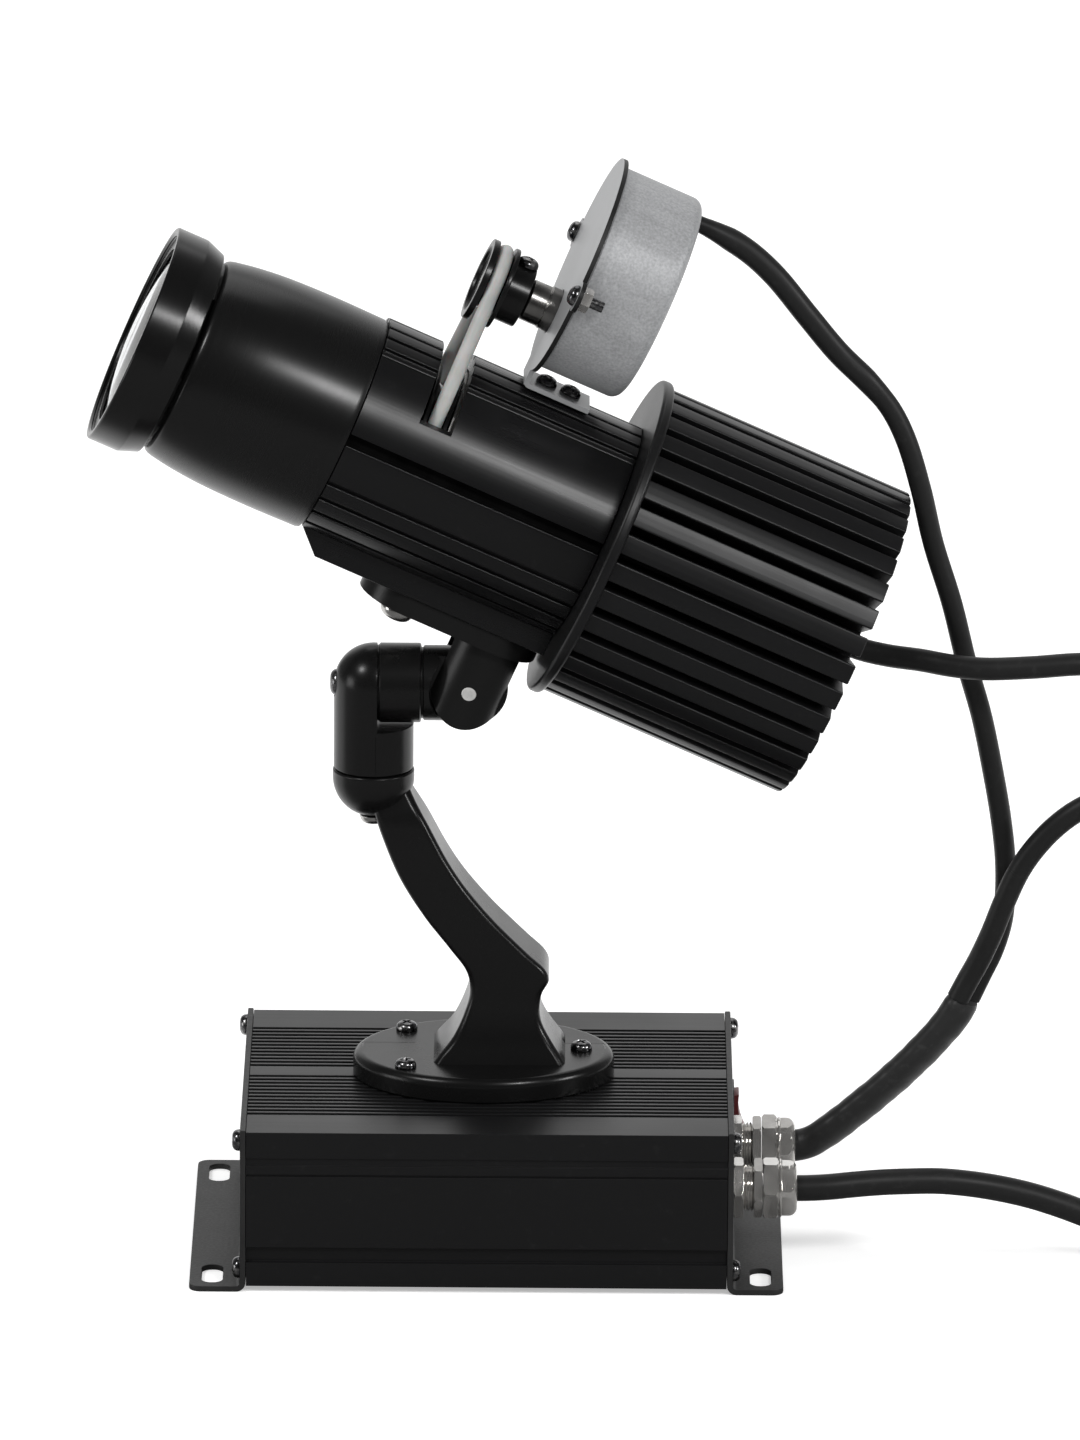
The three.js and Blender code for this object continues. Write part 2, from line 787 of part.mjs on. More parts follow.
// Oval flange, arm and cup in one casting
function supportArm() {
  const flange = turned([
    [0, flangeBottom], [flangeHalfLength, flangeBottom],
    ...arc(flangeHalfLength - flangeRound, flangeTop - flangeRound, flangeRound, 0, Math.PI / 2,
      roundSteps),
    [0, flangeTop],
  ], roundSides).scale(1, flangeHalfDepth / flangeHalfLength, 1).translate(flangeX, 0, 0);
  const cupCentre = cupRim - cupWall;
  const cup = turned([
    ...arc(0, cupCentre, cupRadius, -Math.PI / 2, 0, domeSteps), [cupRadius, cupRim], [0, cupRim],
  ], postSides).translate(panX, 0, 0);
  const body = join(flange, armBody(), cup);
  const holes = flangeScrewPlaces().map(([x, y]) =>
    rod(holeRadius, flangeBottom - overrun, flangeTop + overrun, screwSides).translate(x, y, 0));
  const panHole = rod(knuckleScrewRadius + fitGap, flangeTop, cupRim + overrun, smallSides)
    .translate(panX, 0, 0);
  const headPocket = rod(
    knuckleHeadRadius + fitGap, cupBottom() - knucklePocketDepth, cupBottom() + seatGap, smallSides)
    .translate(panX, 0, 0);
  return cut(body, ...holes, panHole, headPocket);
}

// Flat seat of the pan screw's head, a little above the cup's lowest point
function cupBottom() {
  return cupRim - cupWall - cupRadius + fitGap;
}

function addArm() {
  piece('support_arm', supportArm(), 'blackCasting');
  flangeScrewPlaces().forEach(([x, y], index) => {
    piece(`arm_screw_${index + 1}`, screw(
      screwHeadRadius, screwHeadHeight, screwShankRadius, screwLength + flangeThickness)
      .translate(x, y, flangeTop + seatGap), 'darkScrew');
  });
}

// Elbow: a post on the cup with a domed half that carries the roll axis
function swivelElbow() {
  const bottom = cupRim + fitGap;
  const post = turned([
    [0, bottom], [elbowRadius - elbowEdge, bottom], [elbowRadius, bottom + elbowEdge],
    ...arc(0, rollAxisZ, elbowRadius, 0, Math.PI / 2, domeSteps),
  ], postSides);
  const window = block(
    elbowSplit, elbowRadius + overrun, -elbowRadius - overrun, elbowRadius + overrun,
    rollAxisZ - elbowRadius - lugGap, rollAxisZ + elbowRadius + overrun);
  const panHole = rod(knuckleScrewRadius + fitGap, bottom - overrun, panScrewTop() + fitGap, smallSides);
  const rollHole = rod(
    knuckleScrewRadius + fitGap, -elbowRadius - overrun, elbowSplit + overrun, smallSides, 'x')
    .translate(0, 0, rollAxisZ);
  const seat = rod(
    knuckleHeadRadius + fitGap, -elbowRadius - overrun, rollHeadSeat(), smallSides, 'x')
    .translate(0, 0, rollAxisZ);
  return cut(post, window, panHole, rollHole, seat).translate(panX, 0, 0);
}

function panScrewTop() {
  return cupBottom() + panScrewLength;
}

// Flat seat of the roll screw's head in the elbow's dome, measured from the pan axis
function rollHeadSeat() {
  return -elbowRadius + rollHeadSink;
}

function panScrew() {
  return screw(knuckleHeadRadius, knuckleHeadHeight, knuckleScrewRadius, panScrewLength)
    .rotateX(Math.PI).translate(panX, 0, cupBottom() - seatGap);
}

// Lug: a round body on the roll axis that ends in a flat tongue between the fork's ears, hollowed
// beside the tongue for the ears' round ends and for the fork as it swings to its lower stop
function swivelLug() {
  const start = panX + elbowSplit + lugGap;
  const step = panX + lugStepReach;
  const body = rod(elbowRadius, start, step, postSides, 'x').translate(0, 0, rollAxisZ);
  const neck = rod(lugNeckRadius, step - overrun, pinX, postSides, 'x').translate(0, 0, rollAxisZ);
  const tip = rod(lugNeckRadius, -tongueHalf, tongueHalf, postSides, 'y').translate(pinX, 0, rollAxisZ);
  const round = rod(earRadius + earGap, -elbowRadius, elbowRadius, postSides, 'y');
  const swing = rod(earHalfSpan + fitGap, seatGap, elbowRadius * 2, postSides)
    .rotateY(THREE.MathUtils.degToRad(headTilt - tiltDownStop));
  const tongue = block(
    -elbowRadius * 2, elbowRadius * 2, -tongueHalf, tongueHalf, -elbowRadius * 2, elbowRadius * 2);
  const pocket = cut(join(round, swing), tongue).translate(pinX, 0, rollAxisZ);
  const pinHole = rod(pinRadius + fitGap, -earHalfSpan, earHalfSpan, smallSides, 'y')
    .translate(pinX, 0, rollAxisZ);
  const bore = rod(
    knuckleScrewRadius + fitGap, start - overrun, panX + rollHeadSeat() + rollScrewLength + fitGap,
    smallSides, 'x')
    .translate(0, 0, rollAxisZ);
  return cut(join(body, neck, tip), pocket, pinHole, bore);
}

function rollScrew() {
  return screw(knuckleHeadRadius, knuckleHeadHeight, knuckleScrewRadius, rollScrewLength)
    .rotateY(-Math.PI / 2).translate(panX + rollHeadSeat() - seatGap, 0, rollAxisZ);
}

function addKnuckle() {
  piece('swivel_elbow', swivelElbow(), 'blackCasting');
  piece('pan_screw', panScrew(), 'brightMetal');
  piece('swivel_lug', swivelLug(), 'blackCasting');
  piece('roll_screw', rollScrew(), 'darkScrew');
}

// The head turns about the tilt pin; inside it x is the station, z the height above the optical axis
const head = new THREE.Group();
head.position.set(pinX, 0, rollAxisZ);
head.rotation.y = THREE.MathUtils.degToRad(headTilt);
const optics = new THREE.Group();
optics.position.set(-pinStation, 0, pinDrop);
head.add(optics);
projector.add(head);

// Fork: an oval plate under the barrel's rail with a round boss, slotted for the tongue
function forkBracket() {
  const middle = forkPlateStart + forkPlateLength / 2;
  const plate = alongZ(stadium(forkPlateLength, forkPlateHalfWidth), forkPlateThickness)
    .translate(middle, 0, forkPlateBottom);
  const boss = rod(earHalfSpan, -pinDrop - earRadius, forkPlateBottom + overrun, postSides)
    .translate(pinStation, 0, 0);
  const tip = rod(earRadius, -earHalfSpan - overrun, earHalfSpan + overrun, postSides, 'y')
    .translate(pinStation, 0, -pinDrop);
  const upper = block(
    pinStation - earHalfSpan - overrun, pinStation + earHalfSpan + overrun,
    -earHalfSpan - overrun, earHalfSpan + overrun, -pinDrop, forkPlateBottom + overrun);
  const ears = common(boss, join(tip, upper));
  const slotHalf = tongueHalf + fitGap;
  const slot = block(
    pinStation - earHalfSpan - overrun, pinStation + earHalfSpan + overrun,
    -slotHalf, slotHalf, -pinDrop - earRadius - overrun, forkPlateBottom);
  const pinHole = rod(pinRadius + fitGap, -earHalfSpan - overrun, earHalfSpan + overrun, smallSides, 'y')
    .translate(pinStation, 0, -pinDrop);
  const holes = forkScrewPlaces().map(([x, y]) =>
    rod(forkScrewShankRadius + fitGap, forkPlateBottom - overrun, forkPlateTop + overrun, screwSides)
      .translate(x, y, 0));
  return cut(join(plate, ears), slot, pinHole, ...holes);
}

function forkScrewPlaces() {
  return [[forkScrewStation, -forkScrewSpread], [forkScrewStation, forkScrewSpread]];
}

function forkScrew(x, y) {
    return screw(forkScrewHeadRadius, forkScrewHeadHeight, forkScrewShankRadius, forkScrewReach)
    .rotateX(Math.PI).translate(x, y, forkPlateBottom - seatGap);
}

// Grooves along the barrel, as angles from the side towards the top, in degrees
const barrelGrooveAngles = [82.5, 72, 62, -17, -28, -39.5, -52];
const sideSlotAngle = 8.7;
const crownAngle = 60;

// Half of the barrel's outline, from the rail up to the crown on the +Y side
function barrelHalfOutline() {
  const points = [[railHalfWidth, railBottom]];
  const railAngle = -Math.acos(railHalfWidth / barrelRadius);
  const notches = barrelGrooveAngles.map((angle) => [angle, ribGrooveWidth, ribGrooveDepth]);
  notches.push([sideSlotAngle, sideSlotWidth, sideSlotDepth]);
  notches.sort((a, b) => a[0] - b[0]);
  let angle = railAngle;
  const radiusAt = (value) => (value > THREE.MathUtils.degToRad(crownAngle) ? crownRadius : barrelRadius);
  const polar = (radius, value) => [radius * Math.cos(value), radius * Math.sin(value)];
  const walk = (to) => {
    const steps = Math.max(1, Math.ceil(((to - angle) * barrelSteps) / Math.PI));
    for (let i = 0; i <= steps; i += 1) {
      const value = angle + ((to - angle) * i) / steps;
      points.push(polar(radiusAt(value), value));
    }
  };
  for (const [degrees, width, depth] of notches) {
    const middle = THREE.MathUtils.degToRad(degrees);
    const reach = width / 2 / barrelRadius;
    walk(middle - reach);
    const floor = radiusAt(middle) - depth;
    points.push(polar(floor, middle - reach), polar(floor, middle + reach));
    angle = middle + reach;
  }
  walk(Math.PI / 2);
  return points;
}

// Barrel: a ribbed extrusion with a flat rail below and a slot across its top for the belt
function barrel() {
  const half = barrelHalfOutline();
  const mirrored = half.slice(0, -1).reverse().map(([y, z]) => [-y, z]);
  const shape = shapeOf([...half, ...mirrored]);
  shape.holes.push(circlePath(0, 0, barrelBore, roundSides));
  const body = alongX(shape, barrelLength);
  const beltSlot = block(
    slotStart, slotStart + slotWidth, -crownRadius - overrun, crownRadius + overrun,
    slotFloor, crownRadius + overrun);
  const corner = block(-railChamfer, railChamfer, -barrelRadius, barrelRadius, -railChamfer, railChamfer)
    .rotateY(-Math.PI / 4).translate(0, 0, railBottom);
  const holes = [
    ...forkScrewPlaces().map(([x, y]) =>
      rod(forkScrewShankRadius + fitGap, railBottom - overrun, -barrelBore + overrun, screwSides)
        .translate(x, y, 0)),
    ...motorFootScrewPlaces().map(([x, y]) =>
      rod(holeRadius, barrelBore - overrun, crownRadius + overrun, screwSides).translate(x, y, 0)),
  ];
  return cut(body, beltSlot, corner, ...holes);
}

// Heat sink: a flange, a core and radial fins that widen towards the rim
function heatSink() {
  const outline = [];
  const step = (2 * Math.PI) / finCount;
  const tip = finWidth / 2 / sinkRadius;
  const rootTip = finRootWidth / 2 / sinkCoreRadius;
  const polar = (radius, value) => [radius * Math.cos(value), radius * Math.sin(value)];
  for (let i = 0; i < finCount; i += 1) {
    const angle = (i + 0.5) * step;
    outline.push(polar(sinkCoreRadius, angle - rootTip), polar(sinkRadius, angle - tip));
    outline.push(polar(sinkRadius, angle + tip), polar(sinkCoreRadius, angle + rootTip));
  }
  const shape = shapeOf(outline);
  shape.holes.push(circlePath(0, 0, sinkBore, smallSides));
  const fins = alongX(shape, sinkLength).translate(sinkStart, 0, 0);
  const flange = ring(sinkBore, sinkFlangeRadius, sinkStart, sinkStart + sinkFlangeThickness, rimSides);
  return join(fins, flange);
}

function addSource() {
  piece('led_board', rod(
    ledBoardRadius, sinkStart - seatGap - ledBoardThickness, sinkStart - seatGap, innerSides, 'x'),
    'whiteMetal', optics);
  const front = sinkStart - seatGap * 2 - ledBoardThickness;
  piece('led_emitter', block(
    front - emitterHeight, front, -emitterHalf, emitterHalf, -emitterHalf, emitterHalf),
    'emitterYellow', optics);
  const inner = barrelBore - fitGap - condenserWall;
  const end = condenserStart + condenserLength;
  const middle = (condenserStart + end) / 2;
  piece('condenser_holder', turned([
    [inner, condenserStart], [barrelBore - fitGap, condenserStart], [barrelBore - fitGap, end],
    [inner, end], [inner, middle + fitGap], [inner - condenserWall, middle + fitGap],
    [inner - condenserWall, middle - fitGap], [inner, middle - fitGap], [inner, condenserStart],
  ], innerSides, 'x'), 'blackMetal', optics);
  const lensRadius = inner - fitGap;
  const dome = (face, direction) => turned([
    [0, face], [lensRadius, face], [lensRadius, face + direction * condenserEdge],
    ...lensShares.map((share) => [
      lensRadius * share,
      face + direction * (condenserEdge + condenserLensHeight * Math.sqrt(1 - share * share)),
    ]),
    [0, face + direction * (condenserEdge + condenserLensHeight)],
  ], smallSides, 'x');
  piece('condenser_lens_front', dome(middle - fitGap * 2, -1), 'glass', optics);
  piece('condenser_lens_rear', dome(middle + fitGap * 2, 1), 'glass', optics);
}

// Half octagon about the belt's section, as the groove of a sheave with the given rim
function beltGroove(rim, centre) {
  const wall = beltRadius + fitGap;
  const corner = wall * Math.tan(Math.PI / 8);
  return [
    [rim, beltStation - wall], [centre - corner, beltStation - wall],
    [centre - wall, beltStation - corner],
    [centre - wall, beltStation + corner], [centre - corner, beltStation + wall],
    [rim, beltStation + wall],
  ];
}

// Ring that carries the gobo, with a belt groove and a journal that runs in the bush
function goboRing() {
  const front = beltStation - goboRingLength / 2;
  const back = beltStation + goboRingLength / 2;
  const seat = back - goboDiscThickness - fitGap;
  return turned([
    [goboDiscRadius + fitGap, front], [goboRingRadius, front],
    ...beltGroove(goboRingRadius, goboBeltRadius), [goboRingRadius, back],
    [journalRadius, back], [journalRadius, back + journalLength],
    [goboApertureRadius, back + journalLength],
    [goboApertureRadius, seat], [goboDiscRadius + fitGap, seat], [goboDiscRadius + fitGap, front],
  ], innerSides, 'x');
}

function addGobo() {
  const front = beltStation - goboRingLength / 2;
  const back = beltStation + goboRingLength / 2;
  const seat = back - goboDiscThickness - fitGap;
  piece('gobo_ring', goboRing(), 'blackMetal', optics);
  piece('gobo_disc', rod(
    goboDiscRadius, seat - seatGap - goboDiscThickness, seat - seatGap, innerSides, 'x'),
    'glass', optics);
  piece('gobo_retainer', ring(
    goboApertureRadius, goboDiscRadius, front + fitGap, seat - seatGap * 2 - goboDiscThickness,
    innerSides), 'brightMetal', optics);
  piece('gobo_bush', ring(
    journalRadius + fitGap, barrelBore - fitGap, back + fitGap, back + fitGap + bushLength,
    innerSides), 'brightMetal', optics);
}

// Round belt: two arcs about the sheaves joined by two straight runs, as one closed loop
function driveBelt() {
  const lean = Math.asin((goboBeltRadius - pulleyBeltRadius) / motorAxisRise);
  const route = [];
  const addArc = (centre, radius, from, to, steps) => {
    for (let i = 0; i <= steps; i += 1) {
      const angle = from + ((to - from) * i) / steps;
      route.push([radius * Math.cos(angle), centre + radius * Math.sin(angle), Math.cos(angle),
        Math.sin(angle)]);
    }
  };
  addArc(motorAxisRise, pulleyBeltRadius, lean, Math.PI - lean, pulleyBeltSteps);
  addArc(0, goboBeltRadius, Math.PI - lean, 2 * Math.PI + lean, goboBeltSteps);
  const triangles = [];
  const points = [];
  const count = cordSides;
  for (const [y, z, ny, nz] of route) {
    for (let j = 0; j < count; j += 1) {
      const angle = (j * 2 * Math.PI) / count;
      const outward = beltRadius * Math.cos(angle);
      points.push(beltStation + beltRadius * Math.sin(angle), y + outward * ny, z + outward * nz);
    }
  }
  for (let i = 0; i < route.length; i += 1) {
    const next = (i + 1) % route.length;
    for (let j = 0; j < count; j += 1) {
      const k = (j + 1) % count;
      triangles.push(i * count + j, i * count + k, next * count + k);
      triangles.push(i * count + j, next * count + k, next * count + j);
    }
  }
  const geometry = new THREE.BufferGeometry();
  geometry.setAttribute('position', new THREE.Float32BufferAttribute(points, 3));
  geometry.setIndex(triangles);
  return geometryOf(solid(geometry));
}

function drivePulley() {
  const bore = shaftRadius + fitGap;
  const body = turned([
    [bore, pulleyStart + pulleyDish], [pulleyHubRadius, pulleyStart + pulleyDish],
    [pulleyHubRadius + pulleyDish / 2, pulleyStart],
    [pulleyFlangeRadius, pulleyStart], ...beltGroove(pulleyFlangeRadius, pulleyBeltRadius),
    [pulleyFlangeRadius, hubStart],
    [pulleyHubRadius, hubStart], [pulleyHubRadius, hubStart + pulleyHubLength],
    [bore, hubStart + pulleyHubLength], [bore, pulleyStart + pulleyDish],
  ], postSides, 'x').translate(0, 0, motorAxisRise);
  const hole = rod(setScrewRadius + fitGap, motorAxisRise, motorAxisRise + pulleyHubRadius + overrun,
    screwSides)
    .translate(hubStart + pulleyHubLength / 2, 0, 0);
  return cut(body, hole);
}

function addDrive() {
  piece('drive_belt', driveBelt(), 'beltRubber', optics);
  piece('drive_pulley', drivePulley(), 'blackPlastic', optics);
  piece('pulley_set_screw', screw(
    screwHeadRadius, screwHeadHeight, setScrewRadius, pulleyHubRadius - shaftRadius - fitGap)
    .translate(hubStart + pulleyHubLength / 2, 0, motorAxisRise + pulleyHubRadius + seatGap),
  'darkScrew', optics);
  piece('motor_shaft', rod(
    shaftRadius, pulleyStart + pulleyDish, motorPlateStation + motorPlateThickness, smallSides, 'x')
    .translate(0, 0, motorAxisRise), 'brightMetal', optics);
}

function motorFootScrewPlaces() {
  const first = motorPlateStation + motorFootScrewInset;
  return [[first, 0], [first + motorFootScrewPitch, 0]];
}

// Motor bracket: a round plate with two ears, bent below into a foot on the barrel
function motorBracket() {
  const footTop = crownRadius + fitGap + motorPlateThickness;
  const end = motorPlateStation + motorPlateThickness;
  const disc = rod(motorPlateRadius, motorPlateStation, end, roundSides, 'x')
    .translate(0, 0, motorCentreRise);
  const ears = [-1, 1].map((side) =>
    rod(plateEarRadius, motorPlateStation, end, smallSides, 'x')
      .translate(0, side * earSpread, motorCentreRise));
  const half = motorFootWidth / 2;
  const tab = block(
    motorPlateStation, end, -half, half, footTop - motorPlateThickness,
    motorCentreRise - motorPlateRadius + half);
  const foot = block(
    motorPlateStation, motorPlateStation + motorFootLength, -half, half,
    footTop - motorPlateThickness, footTop);
  const holes = [
    rod(bossStepRadius + fitGap, motorPlateStation - overrun, end + overrun, smallSides, 'x')
      .translate(0, 0, motorAxisRise),
    ...[-1, 1].map((side) => rod(holeRadius, motorPlateStation - overrun, end + overrun, screwSides, 'x')
      .translate(0, side * earSpread, motorCentreRise)),
    ...motorFootScrewPlaces().map(([x, y]) =>
      rod(holeRadius, footTop - motorPlateThickness - overrun, footTop + overrun, screwSides)
        .translate(x, y, 0)),
  ];
  return cut(join(disc, ...ears, tab, foot), ...holes);
}

// Motor can with a rounded rear edge and a hole for its lead
function motorCan() {
  const end = canStart + motorCanLength;
  const can = turned([
    [0, canStart], [motorCanRadius, canStart],
    ...arc(motorCanRadius - motorCanRound, end - motorCanRound, motorCanRound, 0, Math.PI / 2,
      roundSteps),
    [0, end],
  ], roundSides, 'x').translate(0, 0, motorCentreRise);
  const hole = rod(leadHoleRadius, end - motorCanRound, end + overrun, smallSides, 'x')
    .translate(0, 0, motorCentreRise + motorCanRadius - leadHoleInset);
  return cut(can, hole);
}

function gearboxBoss() {
  const end = canStart - fitGap;
  return turned([
    [shaftRadius + fitGap, bossStart], [bossRadius, bossStart],
    [bossRadius, motorPlateStation - bossStepLength],
    [bossStepRadius, motorPlateStation - bossStepLength], [bossStepRadius, end],
    [shaftRadius + fitGap, end],
    [shaftRadius + fitGap, bossStart],
  ], smallSides, 'x').translate(0, 0, motorAxisRise);
}

function addMotor() {
  const footTop = crownRadius + fitGap + motorPlateThickness;
  piece('motor_bracket', motorBracket(), 'whiteMetal', optics);
  piece('motor_can', motorCan(), 'zincMetal', optics);
  piece('gearbox_boss', gearboxBoss(), 'brightMetal', optics);
  motorFootScrewPlaces().forEach(([x, y], index) => {
    piece(`motor_foot_screw_${index + 1}`, screw(
      screwHeadRadius, screwHeadHeight, screwShankRadius, footTop - barrelBore - fitGap)
      .translate(x, y, footTop + seatGap), 'darkScrew', optics);
  });
  [-1, 1].forEach((side, index) => {
    piece(`motor_ear_bolt_${index + 1}`, earBolt()
      .translate(0, side * earSpread, motorCentreRise), 'brightMetal', optics);
  });
}

// Screw through the bracket's ear with its nut run up behind the plate
function earBolt() {
  const bolt = screw(screwHeadRadius, screwHeadHeight, screwShankRadius, earScrewLength)
    .rotateY(-Math.PI / 2)
    .translate(motorPlateStation - seatGap, 0, 0);
  const nut = alongX(shapeOf(hexagon(nutFlats)), nutHeight)
    .translate(motorPlateStation + motorPlateThickness + seatGap, 0, 0);
  return join(bolt, nut);
}

// Outer line of the lens tube from its front to its rear: station and swell as shares
const tubeSwellShares = [[0, 0], [0.03, 0.28], [0.1, 0.5], [0.2, 0.72], [0.37, 0.95], [0.66, 1.06],
  [1, 1]];

function lensTube() {
  const outer = tubeSwellShares.map(([station, swell]) =>
    [tubeFrontRadius + tubeBellyRise * swell, -tubeLength + (tubeLength - fitGap) * station]);
  const spigot = barrelBore - fitGap;
  return turned([
    [tubeBore, -tubeLength], ...outer, [spigot, -fitGap], [spigot, spigotLength],
    [spigot - spigotWall, spigotLength], [tubeBore, 0], [tubeBore, -tubeLength],
  ], roundSides, 'x');
}

// Cell: a tube that slides in the lens tube, with a flange that carries the objective
function lensCell() {
  const front = cellFlangeBack - cellFlangeThickness;
  const flange = hoodRadius - hoodRim - fitGap;
  const inner = cellRadius - cellWall;
  const end = cellFlangeBack + cellLength;
  const lensFront = end - rearLensEdge - rearLensRise - rearLensLip;
  return turned([
    [inner - rearLensLip, front], [flange, front], [flange, cellFlangeBack], [cellRadius, cellFlangeBack],
    [cellRadius, end], [inner, end], [inner, lensFront], [inner - rearLensLip, lensFront],
    [inner - rearLensLip, front],
  ], innerSides, 'x');
}

function hoodRing() {
  const inner = hoodRadius - hoodRim;
  const shoulder = cellRadius + fitGap;
  return turned([
    [inner, hoodStart], [hoodRadius, hoodStart], [hoodRadius, hoodStart + hoodStraight],
    [hoodBackRadius, hoodEnd],
    [shoulder, hoodEnd], [shoulder, cellFlangeBack + fitGap], [inner, cellFlangeBack + fitGap],
    [inner, hoodStart],
  ], roundSides, 'x');
}

function domedLens(radius, flatFace, edge, rise, direction, sides) {
  return turned([
    [0, flatFace], [radius, flatFace], [radius, flatFace + direction * edge],
    ...lensShares.map((share) => [
      radius * share, flatFace + direction * (edge + rise * (1 - share * share)),
    ]),
    [0, flatFace + direction * (edge + rise)],
  ], sides, 'x');
}

function addLens() {
  piece('lens_tube', lensTube(), 'blackMetal', optics);
  piece('lens_cell', lensCell(), 'blackMetal', optics);
  piece('hood_ring', hoodRing(), 'blackMetal', optics);
  const seat = cellFlangeBack - cellFlangeThickness - seatGap;
  piece('objective_lens', domedLens(
    objectiveRadius, seat, objectiveEdge, objectiveRise, -1, roundSides), 'glass', optics);
  piece('lens_retainer', ring(
    objectiveRadius - retainerWidth, hoodRadius - hoodRim - fitGap,
    seat - objectiveEdge - retainerLift - retainerThickness,
    seat - objectiveEdge - retainerLift, innerSides), 'blackMetal', optics);
  const cellEnd = cellFlangeBack + cellLength;
  piece('rear_lens', domedLens(
    cellRadius - cellWall - fitGap, cellEnd - rearLensLip - rearLensEdge, rearLensEdge, rearLensRise,
    -1, innerSides), 'glass', optics);
}

function addHead() {
  piece('fork_bracket', forkBracket(), 'blackCasting', optics);
  forkScrewPlaces().forEach(([x, y], index) => {
    piece(`fork_screw_${index + 1}`, forkScrew(x, y), 'brightMetal', optics);
  });
  piece('tilt_pin', rod(pinRadius, -earHalfSpan, earHalfSpan, smallSides, 'y')
    .translate(pinStation, 0, -pinDrop), 'brightMetal', optics);
  piece('barrel', barrel(), 'blackMetal', optics);
  piece('heat_sink', heatSink(), 'blackMetal', optics);
}

// Gland: body with its thread and ring, lock nut on the plate, dome cap
function addGland(name, y, mouth) {
  const nutStart = plateOuter + seatGap;
  const ringStart = nutStart + glandNutThickness + glandThreadShow;
  const capStart = ringStart + glandRingThickness + seatGap;
  const thread = ring(capMouthRadius, glandThreadRadius, plateInner - glandInside, ringStart, smallSides);
  const bodyShape = shapeOf(hexagon(glandFlats));
  bodyShape.holes.push(circlePath(0, 0, capMouthRadius, smallSides));
  const hexRing = alongX(bodyShape, glandRingThickness).rotateX(Math.PI / 6).translate(ringStart, 0, 0);
  piece(`${name}_gland_body`, join(thread, hexRing).translate(0, y, glandZ), 'brightMetal');
  const nutShape = shapeOf(hexagon(glandFlats));
  nutShape.holes.push(circlePath(0, 0, glandThreadRadius + seatGap, smallSides));
  piece(`${name}_gland_nut`, alongX(nutShape, glandNutThickness)
    .translate(nutStart, y, glandZ), 'brightMetal');
  const capHex = alongX(bodyShape, capHexLength).rotateX(Math.PI / 12).translate(capStart, 0, 0);
  const domeStart = capStart + capHexLength;
  const dome = turned([
    [capMouthRadius, domeStart - glandChamfer], [capDomeRadius, domeStart - glandChamfer],
    [capDomeRadius, domeStart + capDomeLength - glandChamfer * 2],
    [capDomeRadius - glandChamfer, domeStart + capDomeLength - glandChamfer * domeCornerShare],
    [capDomeRadius - glandChamfer * 2, domeStart + capDomeLength], [mouth, domeStart + capDomeLength],
    [mouth, domeStart + glandChamfer], [capMouthRadius, domeStart - glandChamfer],
  ], smallSides, 'x');
  piece(`${name}_gland_cap`, join(capHex, dome).translate(0, y, glandZ), 'brightMetal');
}

// Rocker switch: a body with its bezel, snapped into the plate, and the rocker that turns on it
function addSwitch() {
  const halfHeight = switchHeight / 2;
  const halfDepth = switchDepth / 2;
  const bezelEnd = plateOuter + seatGap + switchBezel;
  const bezel = block(
    plateOuter + seatGap, bezelEnd, switchY - halfDepth, switchY + halfDepth,
    glandZ - halfHeight, glandZ + halfHeight);
  const body = block(
    plateInner - switchBodyLength, plateOuter + seatGap + overrun / 2,
    switchY - halfDepth + switchFrame, switchY + halfDepth - switchFrame,
    glandZ - halfHeight + switchFrame, glandZ + halfHeight - switchFrame);
  const wellHalf = halfDepth - switchFrame - fitGap;
  const well = block(
    plateInner - switchWellDepth, bezelEnd + overrun, switchY - wellHalf, switchY + wellHalf,
    glandZ - halfHeight + switchFrame + fitGap, glandZ + halfHeight - switchFrame - fitGap);
  piece('switch_body', cut(join(bezel, body), well), 'blackPlastic');
  const keyHalf = halfHeight - switchFrame - fitGap * 3;
  const outline = shapeOf([
    [rockerRise, -keyHalf], [rockerRise * rockerHollowShare, 0], [rockerRise, keyHalf],
    [-rockerRise, keyHalf], [-rockerRise * rockerBackShare, 0], [-rockerRise, -keyHalf],
  ]);
  piece('switch_rocker', alongY(outline, (wellHalf - fitGap) * 2)
    .rotateY(-THREE.MathUtils.degToRad(rockerTilt))
    .translate(bezelEnd - rockerPivotDepth, switchY, glandZ), 'redPlastic');
}

// Routes of the cables, in millimetres from the origin, chosen by hand
const motorLeadRoute = [
  [50.3, 0, 271], [51.9, 0, 270.3], [56, 0, 268.4], [61, 0.5, 265.5], [66, 1, 261.8], [72, 1, 256],
  [80, 1, 246], [88, 2, 236], [96, 2, 228], [101.5, 3, 221], [105.5, 3, 213], [109.5, 3, 200],
  [113, 4, 185], [118, 4, 169], [122, 4, 153], [126, 5, 139], [129, 5, 125], [131.5, 6, 111],
  [132.8, 6.5, 100], [133, 7, 91], [132.4, 7, 83], [130.2, 7, 75], [127, 6.6, 68], [124.3, 6.5, 62],
];
const ledLeadRoute = [
  [86.3, 0, 161.3], [90.1, 0, 159.55], [95, -0.3, 157.8], [102, -1.6, 156.6], [110, -3.2, 155.9],
  [118, -5, 155], [126, -5.6, 154.4], [138, -6, 155], [151, -6, 156], [164, -6, 155.5],
  [175, -6, 151], [181, -6, 143], [181, -6, 134], [174, -6, 127], [163, -5.5, 122], [152, -4.5, 117],
  [145.5, -4, 112], [140, -3, 105.5], [136, -2.4, 99], [132.6, -2, 91], [129.4, -1.2, 82],
  [126.2, 0.4, 74], [123.6, 1.4, 68.6], [121.1, 1.5, 63.5],
];
